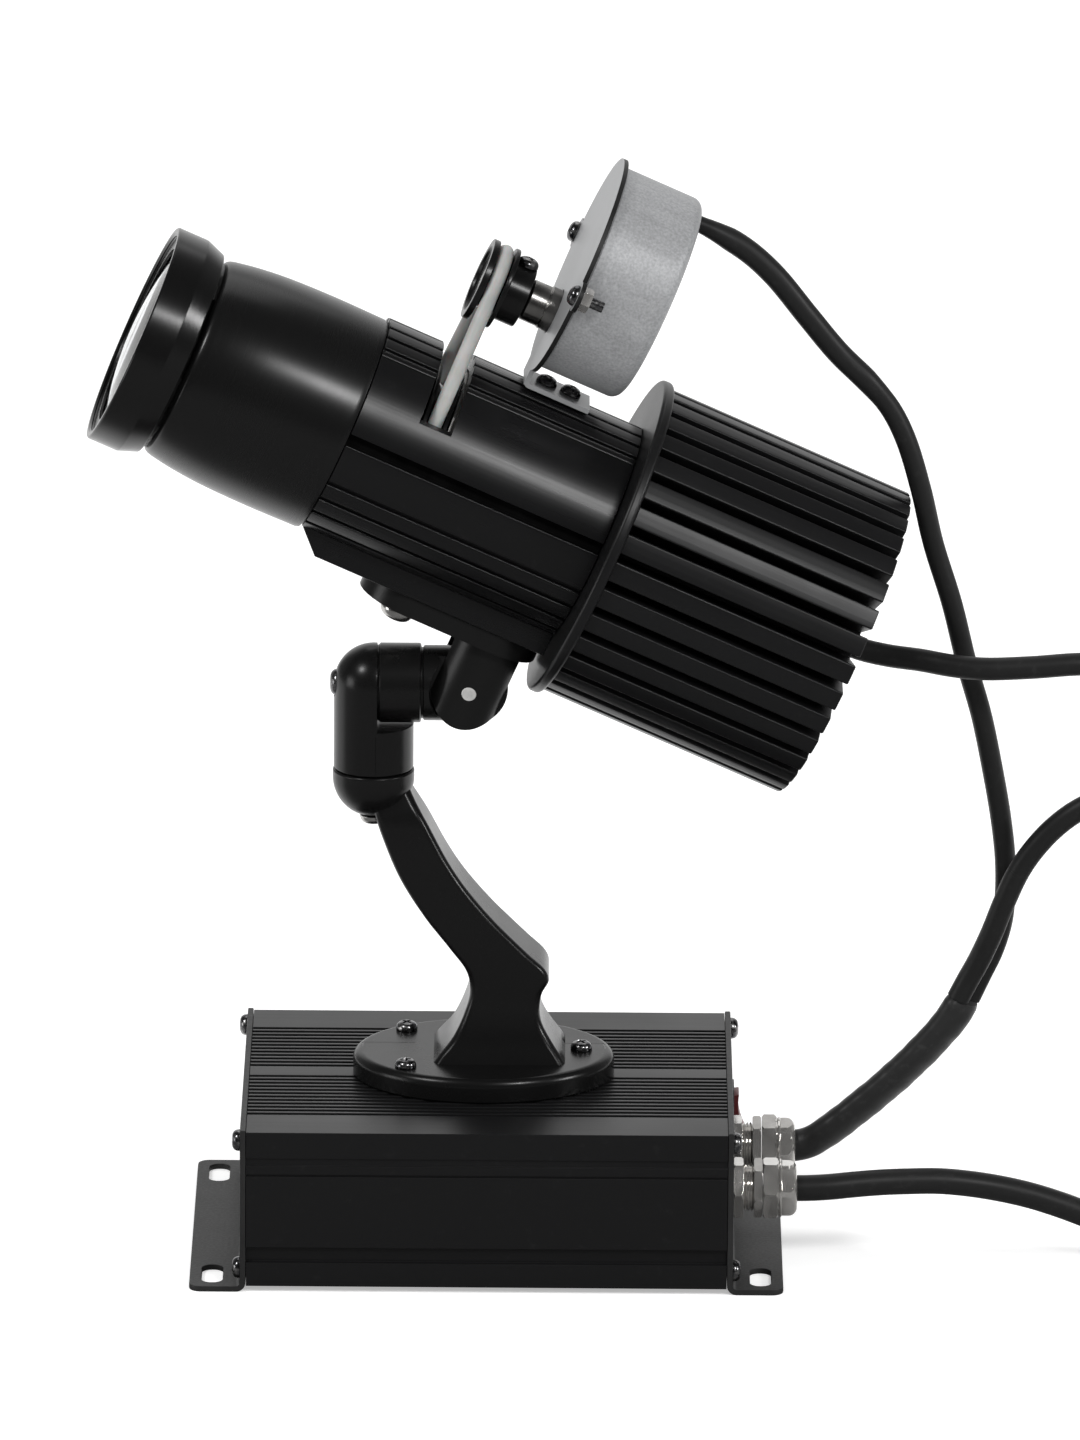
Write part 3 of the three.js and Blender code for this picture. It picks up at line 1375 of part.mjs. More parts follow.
const sleeveRoute = [
  [122.6, 4, 62.5], [119.6, 4, 56.8], [114.6, 4, 50], [108, 4, 42.2], [101.5, 4, 35.4], [96, 4, 30.2],
  [91, 4, 26.3], [86.5, 4, 23.6], [83, 4, 22.4], [79.6, 4, 22.2], [76, 4, 22.2],
];
const mainsRunRoute = [
  [76, -30, 22.2], [82, -30, 22.2], [88, -29.8, 22.5], [94, -29, 22.9], [101, -28, 23.2],
  [108, -27, 23.2], [116, -26, 23], [124, -25, 22], [132, -24, 20.4], [140, -23, 18.2],
  [148, -22.4, 15.4], [156, -22, 12.2], [164, -21.9, 9.2], [173, -21.9, 6.4], [183, -21.9, 4.3],
  [194, -21.9, 3.5], [204.9, -21.9, 3.5],
];

// Centre line of the coil: in at the floor, two layers that spiral in and out, and out along the top
function coilLine() {
  const outer = coilInnerRadius + coilLayerTurns * coilPitch;
  const low = cordRadius + coilClear;
  const turns = coilLayerTurns * 2 + coilClimbTurns;
  const steps = turns * coilTurnSteps;
  const points = [new THREE.Vector3(coilX - coilTail, coilY - outer, low)];
  for (let i = 0; i <= steps; i += 1) {
    const turn = i / coilTurnSteps;
    const fromClimb = Math.abs(turn - turns / 2) - coilClimbTurns / 2;
    const climb = THREE.MathUtils.smoothstep(turn, coilLayerTurns, coilLayerTurns + coilClimbTurns);
    const radius = coilInnerRadius + fromClimb * coilPitch;
    const angle = turn * 2 * Math.PI - Math.PI / 2;
    points.push(new THREE.Vector3(
      coilX + radius * Math.cos(angle), coilY + radius * Math.sin(angle), low + climb * coilLift));
  }
  points.push(new THREE.Vector3(coilX + coilTail, coilY - outer, low + coilLift));
  return points;
}

// Least distance between the surfaces of stretches of the coil that aren't neighbours along it
function coilGap(points) {
  const nearest = new THREE.Vector3();
  const stretch = new THREE.Line3();
  const apart = coilTurnSteps / 2;
  let least = Infinity;
  points.forEach((point, index) => {
    for (let i = index + apart; i + 1 < points.length; i += 1) {
      stretch.set(points[i], points[i + 1]);
      stretch.closestPointToPoint(point, true, nearest);
      least = Math.min(least, nearest.distanceTo(point));
    }
  });
  return least - cordRadius * 2;
}

// Tube of upright rings along the coil's line
function coil() {
  const line = coilLine();
  console.log(`coil: least gap to itself ${coilGap(line).toFixed(2)} mm`);
  const up = new THREE.Vector3(0, 0, 1);
  return loft(line.map((point, index) => {
    const before = line[Math.max(index - 1, 0)];
    const after = line[Math.min(index + 1, line.length - 1)];
    const ahead = after.clone().sub(before).normalize();
    const side = new THREE.Vector3().crossVectors(ahead, up).normalize();
    return ovalRing(point, side, new THREE.Vector3().crossVectors(side, ahead), cordRadius, cordRadius,
      coilSides);
  }));
}

// Ring of points about a centre, with half axes along two directions
function ovalRing(centre, along, across, halfAlong, halfAcross, sides) {
  const points = [];
  for (let i = 0; i < sides; i += 1) {
    const angle = (i * 2 * Math.PI) / sides;
    points.push(centre.clone().addScaledVector(along, halfAlong * Math.cos(angle))
      .addScaledVector(across, halfAcross * Math.sin(angle)));
  }
  return points;
}

// Shrink sleeve: oval where it takes both leads, round where it enters the gland
function leadSleeve() {
  const curve = curveThrough(sleeveRoute);
  const rings = [];
  for (let i = 0; i <= sleeveSteps; i += 1) {
    const share = i / sleeveSteps;
    const ahead = curve.getTangentAt(share);
    const wide = leadSide.clone().addScaledVector(ahead, -leadSide.dot(ahead)).normalize();
    const narrow = new THREE.Vector3().crossVectors(ahead, wide);
    const round = THREE.MathUtils.smoothstep(share, sleeveRoundShares[0], sleeveRoundShares[1]);
    rings.push(ovalRing(
      curve.getPointAt(share), wide, narrow, THREE.MathUtils.lerp(sleeveHalfWidth, sleeveRadius, round),
      THREE.MathUtils.lerp(sleeveHalfDepth, sleeveRadius, round), cordSides));
  }
  return loft(rings);
}

// Flat moulded plug with its neck and two round pins
function mainsPlug() {
  const y = coilY - coilInnerRadius - coilLayerTurns * coilPitch;
  const neckEnd = plugX + plugNeckLength;
  const faceX = neckEnd + plugBodyLength;
  const sections = plugSectionShares.map(([share, width, thickness]) => {
    const x = plugX + (faceX - plugX) * share;
    return ovalRing(
      new THREE.Vector3(x, y, plugHeight), new THREE.Vector3(0, 1, 0), new THREE.Vector3(0, 0, 1),
      plugHalfWidth * width, plugHalfThickness * thickness, plugSides);
  });
  const pins = [-1, 1].map((side) => turned([
    [0, faceX - overrun], [plugPinRadius, faceX - overrun],
    [plugPinRadius, faceX + plugPinLength - plugPinRadius / 2],
    [plugPinRadius / 2, faceX + plugPinLength], [0, faceX + plugPinLength],
  ], screwSides, 'x').translate(0, y + side * plugPinSpread, plugHeight));
  return join(loft(sections), ...pins);
}

function addCables() {
  const y = coilY - coilInnerRadius - coilLayerTurns * coilPitch;
  const top = cordRadius + coilClear + coilLift;
  const start = coilX + coilTail + fitGap;
  const end = plugX - fitGap;
  const endRoute = [
    [start, y, top], [start + (end - start) * cordEndShares[0], y, top],
    [start + (end - start) * cordEndShares[1], y, plugHeight + coilClear],
    [end, y, plugHeight],
  ];
  piece('motor_lead', cable(motorLeadRoute, motorLeadRadius, leadSteps), 'blackRubber');
  piece('led_lead', cable(ledLeadRoute, ledLeadRadius, leadSteps), 'blackRubber');
  piece('lead_sleeve', leadSleeve(), 'blackRubber');
  piece('mains_cord_run', cable(mainsRunRoute, cordRadius, cordRunSteps), 'blackRubber');
  piece('mains_cord_coil', coil(), 'blackRubber');
  piece('mains_cord_end', cable(endRoute, cordRadius, cordEndSteps), 'blackRubber');
  piece('mains_plug', mainsPlug(), 'blackPlastic');
}

addBase();
addDriver();
addArm();
addKnuckle();
addHead();
addSource();
addGobo();
addDrive();
addMotor();
addLens();
addGland('mains', glandY[0], cordRadius + fitGap);
addGland('lead', glandY[1], sleeveRadius + fitGap);
addSwitch();
addCables();

export default projector;
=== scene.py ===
# Looks of the gobo projector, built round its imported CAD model. Blender 4.5, metres in the meshes.
# Sizes in the sections are millimetres. The lens looks towards -X and up, the glands are on +X.
import math
import bpy
import bmesh
import numpy as np
from mathutils import Matrix, Vector


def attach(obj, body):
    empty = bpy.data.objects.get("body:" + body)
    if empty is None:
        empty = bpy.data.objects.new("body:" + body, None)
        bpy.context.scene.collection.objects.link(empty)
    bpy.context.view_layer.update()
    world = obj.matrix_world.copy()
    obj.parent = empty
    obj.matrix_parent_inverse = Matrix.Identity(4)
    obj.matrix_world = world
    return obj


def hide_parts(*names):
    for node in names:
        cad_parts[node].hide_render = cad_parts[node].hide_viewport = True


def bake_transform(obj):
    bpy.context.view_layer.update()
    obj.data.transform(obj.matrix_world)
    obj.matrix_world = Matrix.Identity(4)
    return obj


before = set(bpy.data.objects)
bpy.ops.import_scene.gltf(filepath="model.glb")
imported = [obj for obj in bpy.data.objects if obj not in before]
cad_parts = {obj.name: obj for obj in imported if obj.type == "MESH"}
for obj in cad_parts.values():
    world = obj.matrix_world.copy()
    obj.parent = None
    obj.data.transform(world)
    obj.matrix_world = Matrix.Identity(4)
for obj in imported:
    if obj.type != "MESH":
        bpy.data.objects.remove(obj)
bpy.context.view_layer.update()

# Camera. A long lens 3.8 m away, 17 degrees above the table and turned by 0.4 degrees, as the
# photograph was taken.
elevation = math.radians(17)
roll = math.radians(0.412)
distance = 3.782
aim = Vector((12.73, 0, 138.19)) / 1000
right = Vector((1, 0, 0))
up = Vector((0, math.sin(elevation), math.cos(elevation)))
back = Vector((0, -math.cos(elevation), math.sin(elevation)))
lens = bpy.data.cameras.new("camera")
lens.lens = 368.7
lens.sensor_width = 36
lens.clip_end = 50
camera = bpy.data.objects.new("camera", lens)
turn = Matrix((right * math.cos(roll) + up * math.sin(roll),
               up * math.cos(roll) - right * math.sin(roll), back)).transposed().to_4x4()
camera.matrix_world = Matrix.Translation(aim + back * distance) @ turn
bpy.context.scene.collection.objects.link(camera)
bpy.context.scene.camera = camera
bpy.context.scene.view_settings.view_transform = "Standard"


# Shader maths. Value is a socket on which + - and * work, Nodes is one node tree, and
# Paint is the tree of one material round its Principled shader.
class Value:
    """A socket. An operator after it, or a minus before it, adds the Math node of that name."""

    def __init__(self, nodes, socket):
        self.nodes, self.socket = nodes, socket

    def math(self, kind, a, b):
        return self.nodes.node("ShaderNodeMath", {"operation": kind}, {0: a, 1: b})

    def __add__(self, other):
        return self.math("ADD", self, other)

    def __sub__(self, other):
        return self.math("SUBTRACT", self, other)

    def __rsub__(self, other):
        return self.math("SUBTRACT", other, self)

    def __mul__(self, other):
        return self.math("MULTIPLY", self, other)

    def most(self, other):
        return self.math("MAXIMUM", self, other)


class Nodes:
    """A node tree."""

    def __init__(self, tree):
        self.tree = tree

    def node(self, kind, settings=None, sockets=None, out=0):
        """Adds a node: its settings or ramp stops first, then the values or links of its sockets."""
        made = self.tree.nodes.new(kind)
        for key, value in (settings or {}).items():
            if key == "stops":
                while len(made.color_ramp.elements) < len(value):
                    made.color_ramp.elements.new(0.5)
                for element, (at, tone) in zip(made.color_ramp.elements, value):
                    element.position = at
                    element.color = (*tone, 1) if hasattr(tone, "__len__") else (tone, tone, tone, 1)
            else:
                setattr(made, key, value)
        for key, value in (sockets or {}).items():
            self.join(value, made.inputs[key])
        return Value(self, made.outputs[out])

    def join(self, value, socket):
        if isinstance(value, Value):
            self.tree.links.new(value.socket, socket)
        elif hasattr(value, "__len__") and socket.type == "RGBA" and len(value) == 3:
            socket.default_value = (*value, 1)
        else:
            socket.default_value = value

    def spread(self, value, low, high, to_low, to_high):
        """Smooth step of a value between low and high, from to_low to to_high."""
        return self.node("ShaderNodeMapRange", {"interpolation_type": "SMOOTHSTEP"}, {
            "Value": value, "From Min": low, "From Max": high, "To Min": to_low, "To Max": to_high})

    def ray(self, kind):
        return self.node("ShaderNodeLightPath", out=f"Is {kind} Ray")


class Paint(Nodes):
    """A material. Numbers that hold all over go straight into the shader's sockets."""

    def __init__(self, name, **sockets):
        self.material = bpy.data.materials.new(name)
        self.material.use_nodes = True
        super().__init__(self.material.node_tree)
        self.shader = self.tree.nodes["Principled BSDF"]
        self.place = self.node("ShaderNodeTexCoord", out="Object")
        for key, value in sockets.items():
            self.put(key.replace("_", " ").title().replace("Ior", "IOR"), value)

    def put(self, name, value):
        self.join(value, self.shader.inputs[name])
        return self

    def grain(self, scale, tilt=0):
        """Object coordinates turned back by tilt about Y and scaled by axis, for grain one way."""
        return self.node("ShaderNodeMapping", {"vector_type": "TEXTURE"}, {
            "Vector": self.place, "Rotation": (0, tilt, 0), "Scale": tuple(1 / s for s in scale)})

    def noise(self, scale, detail=3, rough=0.5, place=None):
        return self.node("ShaderNodeTexNoise", None, {
            "Vector": place or self.place, "Scale": scale, "Detail": detail, "Roughness": rough})

    def ramp(self, value, *stops):
        return self.node("ShaderNodeValToRGB", {"stops": stops}, {0: value})

    def tint(self, value, dark, light, start=0.3, end=0.7):
        """Base Color that goes from dark to light while the value goes from start to end."""
        return self.put("Base Color", self.ramp(value, (start, dark), (end, light)))

    def blend(self, share, a, b):
        """Colour a where share is 0 and b where it is 1."""
        return self.node("ShaderNodeMix", {"data_type": "RGBA"}, {0: share, 6: a, 7: b}, out=2)

    def bump(self, height, strength, depth):
        """Bump of that depth in millimetres where height is 1, into the shader's Normal."""
        self.put("Normal", self.node("ShaderNodeBump", None, {
            "Height": height, "Strength": strength, "Distance": depth / 1000}))
        return self


# Table and studio. A pale table whose front runs into the dark side of the room, soft boxes in front,
# on the right, on the left and behind; the camera sees the background as plain white.
table_half = 6
corners = [(-1, -1), (1, -1), (1, 1), (-1, 1)]
table_mesh = bpy.data.meshes.new("table")
table_mesh.from_pydata([(x * table_half, y * table_half, 0) for x, y in corners], [], [(0, 1, 2, 3)])
table = bpy.data.objects.new("table", table_mesh)
bpy.context.scene.collection.objects.link(table)
pale = Paint("pale_table", roughness=0.9, specular_ior_level=0.1)
depth = pale.node("ShaderNodeSeparateXYZ", None, {0: pale.place}, out="Y")
shaded = pale.ray("Glossy") * pale.spread(depth, -0.04, 0.08, 1, 0)
watched = pale.ray("Camera").most(pale.ray("Glossy") - shaded).most(pale.ray("Transmission"))
pale.put("Base Color", pale.blend(shaded, (0.8, 0.8, 0.8), (0.2, 0.2, 0.2)))
pale.put("Emission Color", pale.blend(watched, (0, 0, 0), (1, 1, 1)))
pale.put("Emission Strength", 0.42)
table.data.materials.append(pale.material)

# The backdrop is white all round for the camera. Gloss and glass see it behind the object and the
# darker room in front of it, and what lights the object comes mostly from above.
world = bpy.data.worlds.new("studio")
world.use_nodes = True
bpy.context.scene.world = world
room = Nodes(world.node_tree)
facing = room.node("ShaderNodeTexCoord", out="Generated")
sideways, backward, upward = (
    room.node("ShaderNodeSeparateXYZ", None, {0: facing}, out=axis) for axis in "XYZ")
mirrored = room.ray("Glossy").most(room.ray("Transmission"))
behind = room.spread(backward, 0, 0.6, 0, 1) * room.spread(upward, 0.4, 0.75, 1, 0.1)
backdrop = mirrored * (behind * room.spread(sideways * sideways, 0.06, 0.4, 1, 0.2) + 0.04)
glow = (1 - mirrored) * room.spread(upward, -0.2, 1, 0.2, 0.75)
room.join((1, 1, 1), room.tree.nodes["Background"].inputs["Color"])
room.join(room.ray("Camera").most(backdrop + glow), room.tree.nodes["Background"].inputs["Strength"])


def soft_box(name, place, width, power):
    """Square area lamp at a place in metres that faces the object."""
    light = bpy.data.lights.new(name, "AREA")
    light.size = width
    light.energy = power
    made = bpy.data.objects.new(name, light)
    made.location = place
    made.rotation_euler = (object_middle - Vector(place)).to_track_quat("-Z", "Y").to_euler()
    bpy.context.scene.collection.objects.link(made)


object_middle = Vector((0, 0, 0.15))
soft_box("front_box", (0.78, -1.44, 1.35), 0.3, 13)
soft_box("right_box", (1.76, -0.68, 0.85), 0.35, 13)
soft_box("left_box", (-1.1, -0.85, 1.6), 0.3, 13)
soft_box("left_panel", (-1.9, -0.6, 0.3), 0.7, 7)
soft_box("rear_box", (0.1, 0.9, 1.6), 1.0, 4)


# Mesh making. A surface is an array of points over two parameters; shell joins such arrays in one
# closed mesh, in metres at its place in the frame, with its faces turned outwards.
def lattice(points):
    """(points, faces) of a grid of rows by columns whose last column meets its first."""
    rows, columns = points.shape[:2]
    index = np.arange(rows * columns).reshape(rows, columns)
    after = np.roll(index, -1, axis=1)
    faces = np.stack([index[:-1], after[:-1], after[1:], index[1:]], axis=-1)
    return points.reshape(-1, 3), faces.reshape(-1, 4).tolist()


def shell(name, *parts, crease=32, place=None, flats=False):
    """Object of one or more (points, faces) parts in millimetres. Edges over crease degrees stay
    sharp, and flats keeps large faces flat in shading."""
    verts, faces, first = [], [], 0
    for points, own in parts:
        verts.append(np.asarray(points, float))
        faces += [[i + first for i in face] for face in own]
        first += len(points)
    mesh = bpy.data.meshes.new(name)
    mesh.from_pydata((moved(np.concatenate(verts), place) / 1000).tolist(), [], faces)
    work = bmesh.new()
    work.from_mesh(mesh)
    bmesh.ops.remove_doubles(work, verts=work.verts, dist=2e-7)
    bmesh.ops.recalc_face_normals(work, faces=work.faces)
    work.to_mesh(mesh)
    work.free()
    made = bpy.data.objects.new(name, mesh)
    bpy.context.scene.collection.objects.link(made)
    smooth(made, crease, flats)
    return made


def moved(points, place):
    """Points taken by a matrix to their place in the frame."""
    if place is None:
        return points
    m = np.array(place)
    return points @ m[:3, :3].T + m[:3, 3]


def smooth(piece, crease=32, flats=False):
    """Smooth shading up to the crease angle, weighted by face area where there are large flats."""
    mesh = piece.data
    mesh.polygons.foreach_set("use_smooth", np.ones(len(mesh.polygons), bool))
    mesh.set_sharp_from_angle(angle=math.radians(crease))
    if flats:
        weigh = piece.modifiers.new("flats", "WEIGHTED_NORMAL")
        weigh.keep_sharp = True
        settle(piece)


def settle(piece):
    """Takes a piece's modifiers into its mesh."""
    layer = bpy.context.evaluated_depsgraph_get()
    mesh = bpy.data.meshes.new_from_object(piece.evaluated_get(layer))
    piece.modifiers.clear()
    piece.data = mesh


def fit(piece, body, slot, paint, *nodes):
    """Gives a piece its body and its material, and hides the CAD nodes that it stands for. slot is not used.
    """
    piece.data.materials.clear()
    piece.data.materials.append(paint.material)
    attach(piece, body)
    if nodes:
        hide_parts(*nodes)
    return piece


# Cords. Each is a round flexible lead with a smooth black jacket: the mains cord lies on the table
# and ends in a wound coil and its plug, the motor's and the light's leads go back to the driver box.
def mix(t, start, end, a, b):
    """a where t is start and b where it is end."""
    return (end - t) / (end - start) * a + (t - start) / (end - start) * b


def curved(points, step=1.6):
    """Points every step millimetres along a centripetal Catmull-Rom curve through the given ones."""
    p = np.asarray(points, float)
    p = np.concatenate([[2 * p[0] - p[1]], p, [2 * p[-1] - p[-2]]])
    gap = np.linalg.norm(np.diff(p, axis=0), axis=1) ** 0.5
    out = []
    for i in range(1, len(p) - 2):
        t0, t1 = 0, gap[i - 1]
        t2, t3 = t1 + gap[i], t1 + gap[i] + gap[i + 1]
        count = max(2, int(gap[i] ** 2 / step))
        t = np.linspace(t1, t2, count, endpoint=False)[:, None]
        a1 = mix(t, t0, t1, p[i - 1], p[i])
        a2 = mix(t, t1, t2, p[i], p[i + 1])
        a3 = mix(t, t2, t3, p[i + 1], p[i + 2])
        out.append(mix(t, t1, t2, mix(t, t0, t2, a1, a2), mix(t, t1, t3, a2, a3)))
    return np.concatenate(out + [p[-2:-1]])


def rise(value, start, span):
    """Smooth step from 0 to 1 over a span from start."""
    share = np.clip((value - start) / span, 0, 1)
    return share * share * (3 - 2 * share)


def ahead_of(line):
    """Unit tangents of a line of points."""
    t = np.gradient(line, axis=0)
    return t / np.linalg.norm(t, axis=1)[:, None]


def tube(line, wide, thick=None, guide=(0, 0, 1), sides=20):
    """Grid of rings square to a line, with half axes wide and thick, closed to a point at both ends.
    wide lies along guide cross tangent, or along guide itself where thick is given."""
    t = ahead_of(line)
    wide = np.broadcast_to(np.asarray(wide, float), len(line))
    if thick is None:
        thick, u = wide, carried(t)
    else:
        thick = np.broadcast_to(np.asarray(thick, float), len(line))
        u = np.asarray(guide, float) - (t @ np.asarray(guide, float))[:, None] * t
        u /= np.linalg.norm(u, axis=1)[:, None]
    v = np.cross(t, u)
    a = np.linspace(0, 2 * np.pi, sides, endpoint=False)
    ring = (line[:, None] + u[:, None] * (wide[:, None] * np.cos(a))[..., None]
            + v[:, None] * (thick[:, None] * np.sin(a))[..., None])
    ends = [np.repeat(line[i][None, None], sides, axis=1) for i in (0, -1)]
    return np.concatenate([ends[0], ring, ends[1]])


def carried(tangents):
    """One side vector for each tangent, carried along the line without twist."""
    side = np.cross(tangents[0], (0.13, 0.9, 0.42))
    out = []
    for t in tangents:
        side = side - (side @ t) * t
        side = side / np.linalg.norm(side)
        out.append(side)
    return np.array(out)


def jacket(name, tone, gloss, crumple=0.12):
    """Extruded PVC: fine drag lines and a soft waver in the gloss, with a few scuffs."""
    paint = Paint(name, specular_ior_level=0.2)
    waver = paint.noise(60, 4)
    scuff = paint.ramp(paint.noise(420, 5, 0.65), (0.56, 0), (0.72, 1))
    paint.put("Base Color", paint.blend(scuff * 0.35, (tone,) * 3, (tone * 2.4,) * 3))
    paint.put("Roughness", waver * 0.22 + (gloss - 0.1) + scuff * 0.12)
    return paint.bump(paint.noise(900, 3) * (0.06 / crumple) + waver, 0.35, crumple)


pvc = jacket("black_pvc", 0.012, 0.42)

mains_route = [
    (76, -30, 22.2), (82, -30, 22.2), (88, -29.8, 22.5), (94, -29, 22.9), (101, -28, 23.2),
    (108, -27, 23.2), (116, -26, 23), (124, -25, 22), (132, -24, 20.4), (140, -23, 18.2),
    (148, -22.4, 15.4), (156, -22, 12.2), (164, -21.9, 9.2), (173, -21.9, 6.4), (183, -21.9, 4.3),
    (194, -21.9, 3.5), (204.9, -21.9, 3.5)]
coil_centre, coil_inner, coil_pitch, coil_low, coil_lift = (212, 26), 27, 7.6, 3.5, 7.4
layer_turns, climb_turns, turn_points = 2.75, 0.5, 24
half_coil = layer_turns + climb_turns / 2
turns = np.arange(2 * half_coil * turn_points + 1) / turn_points
spread = coil_inner + (np.abs(turns - half_coil) - climb_turns / 2) * coil_pitch
bearing = 2 * np.pi * turns - np.pi / 2
coil_route = np.stack([
    coil_centre[0] + spread * np.cos(bearing), coil_centre[1] + spread * np.sin(bearing),
    coil_low + rise(turns, layer_turns, climb_turns) * coil_lift], axis=1)
end_route = [(219.1, -21.9, 10.9), (228.9, -21.9, 10.9), (240.3, -21.9, 8.7), (252.4, -21.9, 8.6)]
mains_radius = 3.38
mains_line = curved([*mains_route, *coil_route[1:-1], *end_route])
mains_line = mains_line[mains_line[:, 0] >= mains_route[0][0]]
mains = shell("mains_cord", lattice(tube(mains_line, mains_radius)))
fit(mains, "base", "black_rubber", pvc, "mains_cord_run", "mains_cord_coil", "mains_cord_end")

# Plug of the mains cord. A flat moulded body with a ribbed neck and fine grain, and two round pins
# of plated brass that stand out of its face.
plug_sections = [
    (0, 0.22, 0.5), (0.03, 0.25, 0.54), (0.3, 0.3, 0.62), (0.36, 0.34, 0.68), (0.41, 0.42, 0.78),
    (0.44, 0.6, 0.9), (0.47, 0.8, 0.97), (0.54, 0.97, 1), (0.6, 1, 1), (0.9, 1, 1),
    (0.96, 0.99, 0.98), (0.99, 0.96, 0.94), (1, 0.9, 0.86)]
plug_start, plug_face, plug_y, plug_z = 252, 310, -21.9, 8.6
plug_half, plug_flat, plug_power, plug_sides, rib_height = 18, 8.4, 2.6, 48, 0.05
plug_at, plug_wide, plug_thick = np.array(plug_sections).T
fine = np.linspace(0, 1, 90)
ribs = 1 + rib_height * np.sign(np.sin(fine * 150)) * (fine > 0.06) * (fine < 0.33)
along = plug_start + (plug_face - plug_start) * fine
around = np.linspace(0, 2 * np.pi, plug_sides, endpoint=False)
across, upright = np.cos(around), np.sin(around)
squared = (np.abs(across) ** plug_power + np.abs(upright) ** plug_power) ** (-1 / plug_power)
section_y = (plug_half * np.interp(fine, plug_at, plug_wide) * ribs)[:, None] * squared * across
section_z = (plug_flat * np.interp(fine, plug_at, plug_thick) * ribs)[:, None] * squared * upright
section_x = np.repeat(along[:, None], plug_sides, axis=1)
body_grid = np.stack([section_x, plug_y + section_y, plug_z + section_z], -1)
tips = [np.full((1, plug_sides, 3), (x, plug_y, plug_z), float) for x in (plug_start, plug_face)]
plug = shell("plug_body", lattice(np.concatenate([tips[0], body_grid, tips[1]])))
moulded = Paint("moulded_plastic", base_color=(0.013, 0.013, 0.014), specular_ior_level=0.4)
moulded.put("Roughness", moulded.noise(90) * 0.16 + 0.38)
moulded.bump(moulded.noise(1500, 2), 0.3, 0.05)
fit(plug, "base", "black_plastic", moulded, "mains_plug")


def turned(profile, sides=64, axis=0):
    """Grid of a shape turned about an axis; the profile's points are (radius, station)."""
    p = np.asarray(profile, float)
    a = np.linspace(0, 2 * np.pi, sides, endpoint=False)
    flat = np.stack([p[:, :1] * np.cos(a), p[:, :1] * np.sin(a)], -1)
    return np.insert(flat, axis, p[:, 1:2], axis=2)


def lathe(name, profile, sides, axis=0, centre=(0, 0, 0), **looks):
    """Shape turned about an axis through centre."""
    return shell(name, lattice(turned(profile, sides, axis) + centre), **looks)


def bar(name, radius, start, end, axis=0, centre=(0, 0, 0), sides=96):
    """Plain cylinder along an axis through centre."""
    return lathe(name, [(0, start), (radius, start), (radius, end), (0, end)], sides, axis, centre)


pin_half, pin_apart, pin_foot, pin_tip = 2.4, 9.5, 308, 329
pin_profile = [(0, pin_foot), (pin_half, pin_foot), (pin_half, pin_tip - 1.4), (2.2, pin_tip - 0.5),
               (1.5, pin_tip), (0, pin_tip)]
pins = [lattice(turned(pin_profile, 24) + (0, plug_y + side * pin_apart, plug_z)) for side in (-1, 1)]
nickel = Paint("nickel_plate", metallic=0.82)
cloud = nickel.noise(160, 4)
nickel.tint(cloud, (0.52, 0.505, 0.485), (0.68, 0.665, 0.64))
nickel.put("Roughness", cloud * 0.16 + 0.06)
nickel.bump(nickel.noise(1100, 4, 0.65), 0.3, 0.04)
plug_pins = fit(shell("plug_pins", *pins), "base", "nickel", nickel)

# Leads of the motor and of the light. Both hang from the head and end side by side in a shrunk
# sleeve, which is clamped in the rear gland. Each is cut in three where the tilt piece and the roll piece
# end.
motor_route = [
    (50.3, 0, 271), (51.9, 0, 270.3), (56, 0, 268.4), (61, 0.5, 265.5), (66, 1, 261.8), (72, 1, 256),
    (80, 1, 246), (88, 2, 236), (96, 2, 228), (101.5, 3, 221), (105.5, 3, 213), (109.5, 3, 200),
    (113, 4, 185), (118, 4, 169), (122, 4, 153), (126, 5, 139), (129, 5, 125), (131.5, 6, 111),
    (132.8, 6.5, 100), (133, 7, 91), (132.4, 7, 83), (130.2, 7, 75), (127, 6.6, 68), (124.3, 6.5, 62)]
light_route = [
    (86.3, 0, 161.3), (90.1, 0, 159.55), (95, -0.4, 157.8), (102, -2.4, 156.8), (110, -5.4, 156.6),
    (118, -8.3, 156), (126, -9.5, 155.6), (138, -10, 156.2), (151, -10, 157.2), (164, -9.2, 156.5),
    (175, -7.6, 151.5), (181, -6, 143), (181, -6, 134), (174, -6, 127), (163, -5.5, 122),
    (152, -4.5, 117), (145.5, -4, 112), (140, -3, 105.5), (136, -2.4, 99), (132.6, -2, 91),
    (129.4, -1.2, 82), (126.2, 0.4, 74), (123.6, 1.4, 68.6), (121.1, 1.5, 63.5)]
sleeve_route = [
    (122.6, 4, 62.5), (119.6, 4, 57.2), (114.6, 4, 50.9), (108, 4, 43.8), (101.5, 4, 37.6),
    (96, 4, 32.8), (91, 4, 28.6), (86.8, 4, 25.4), (83.2, 4, 23.2), (79.6, 4, 22.3), (76, 4, 22.2)]

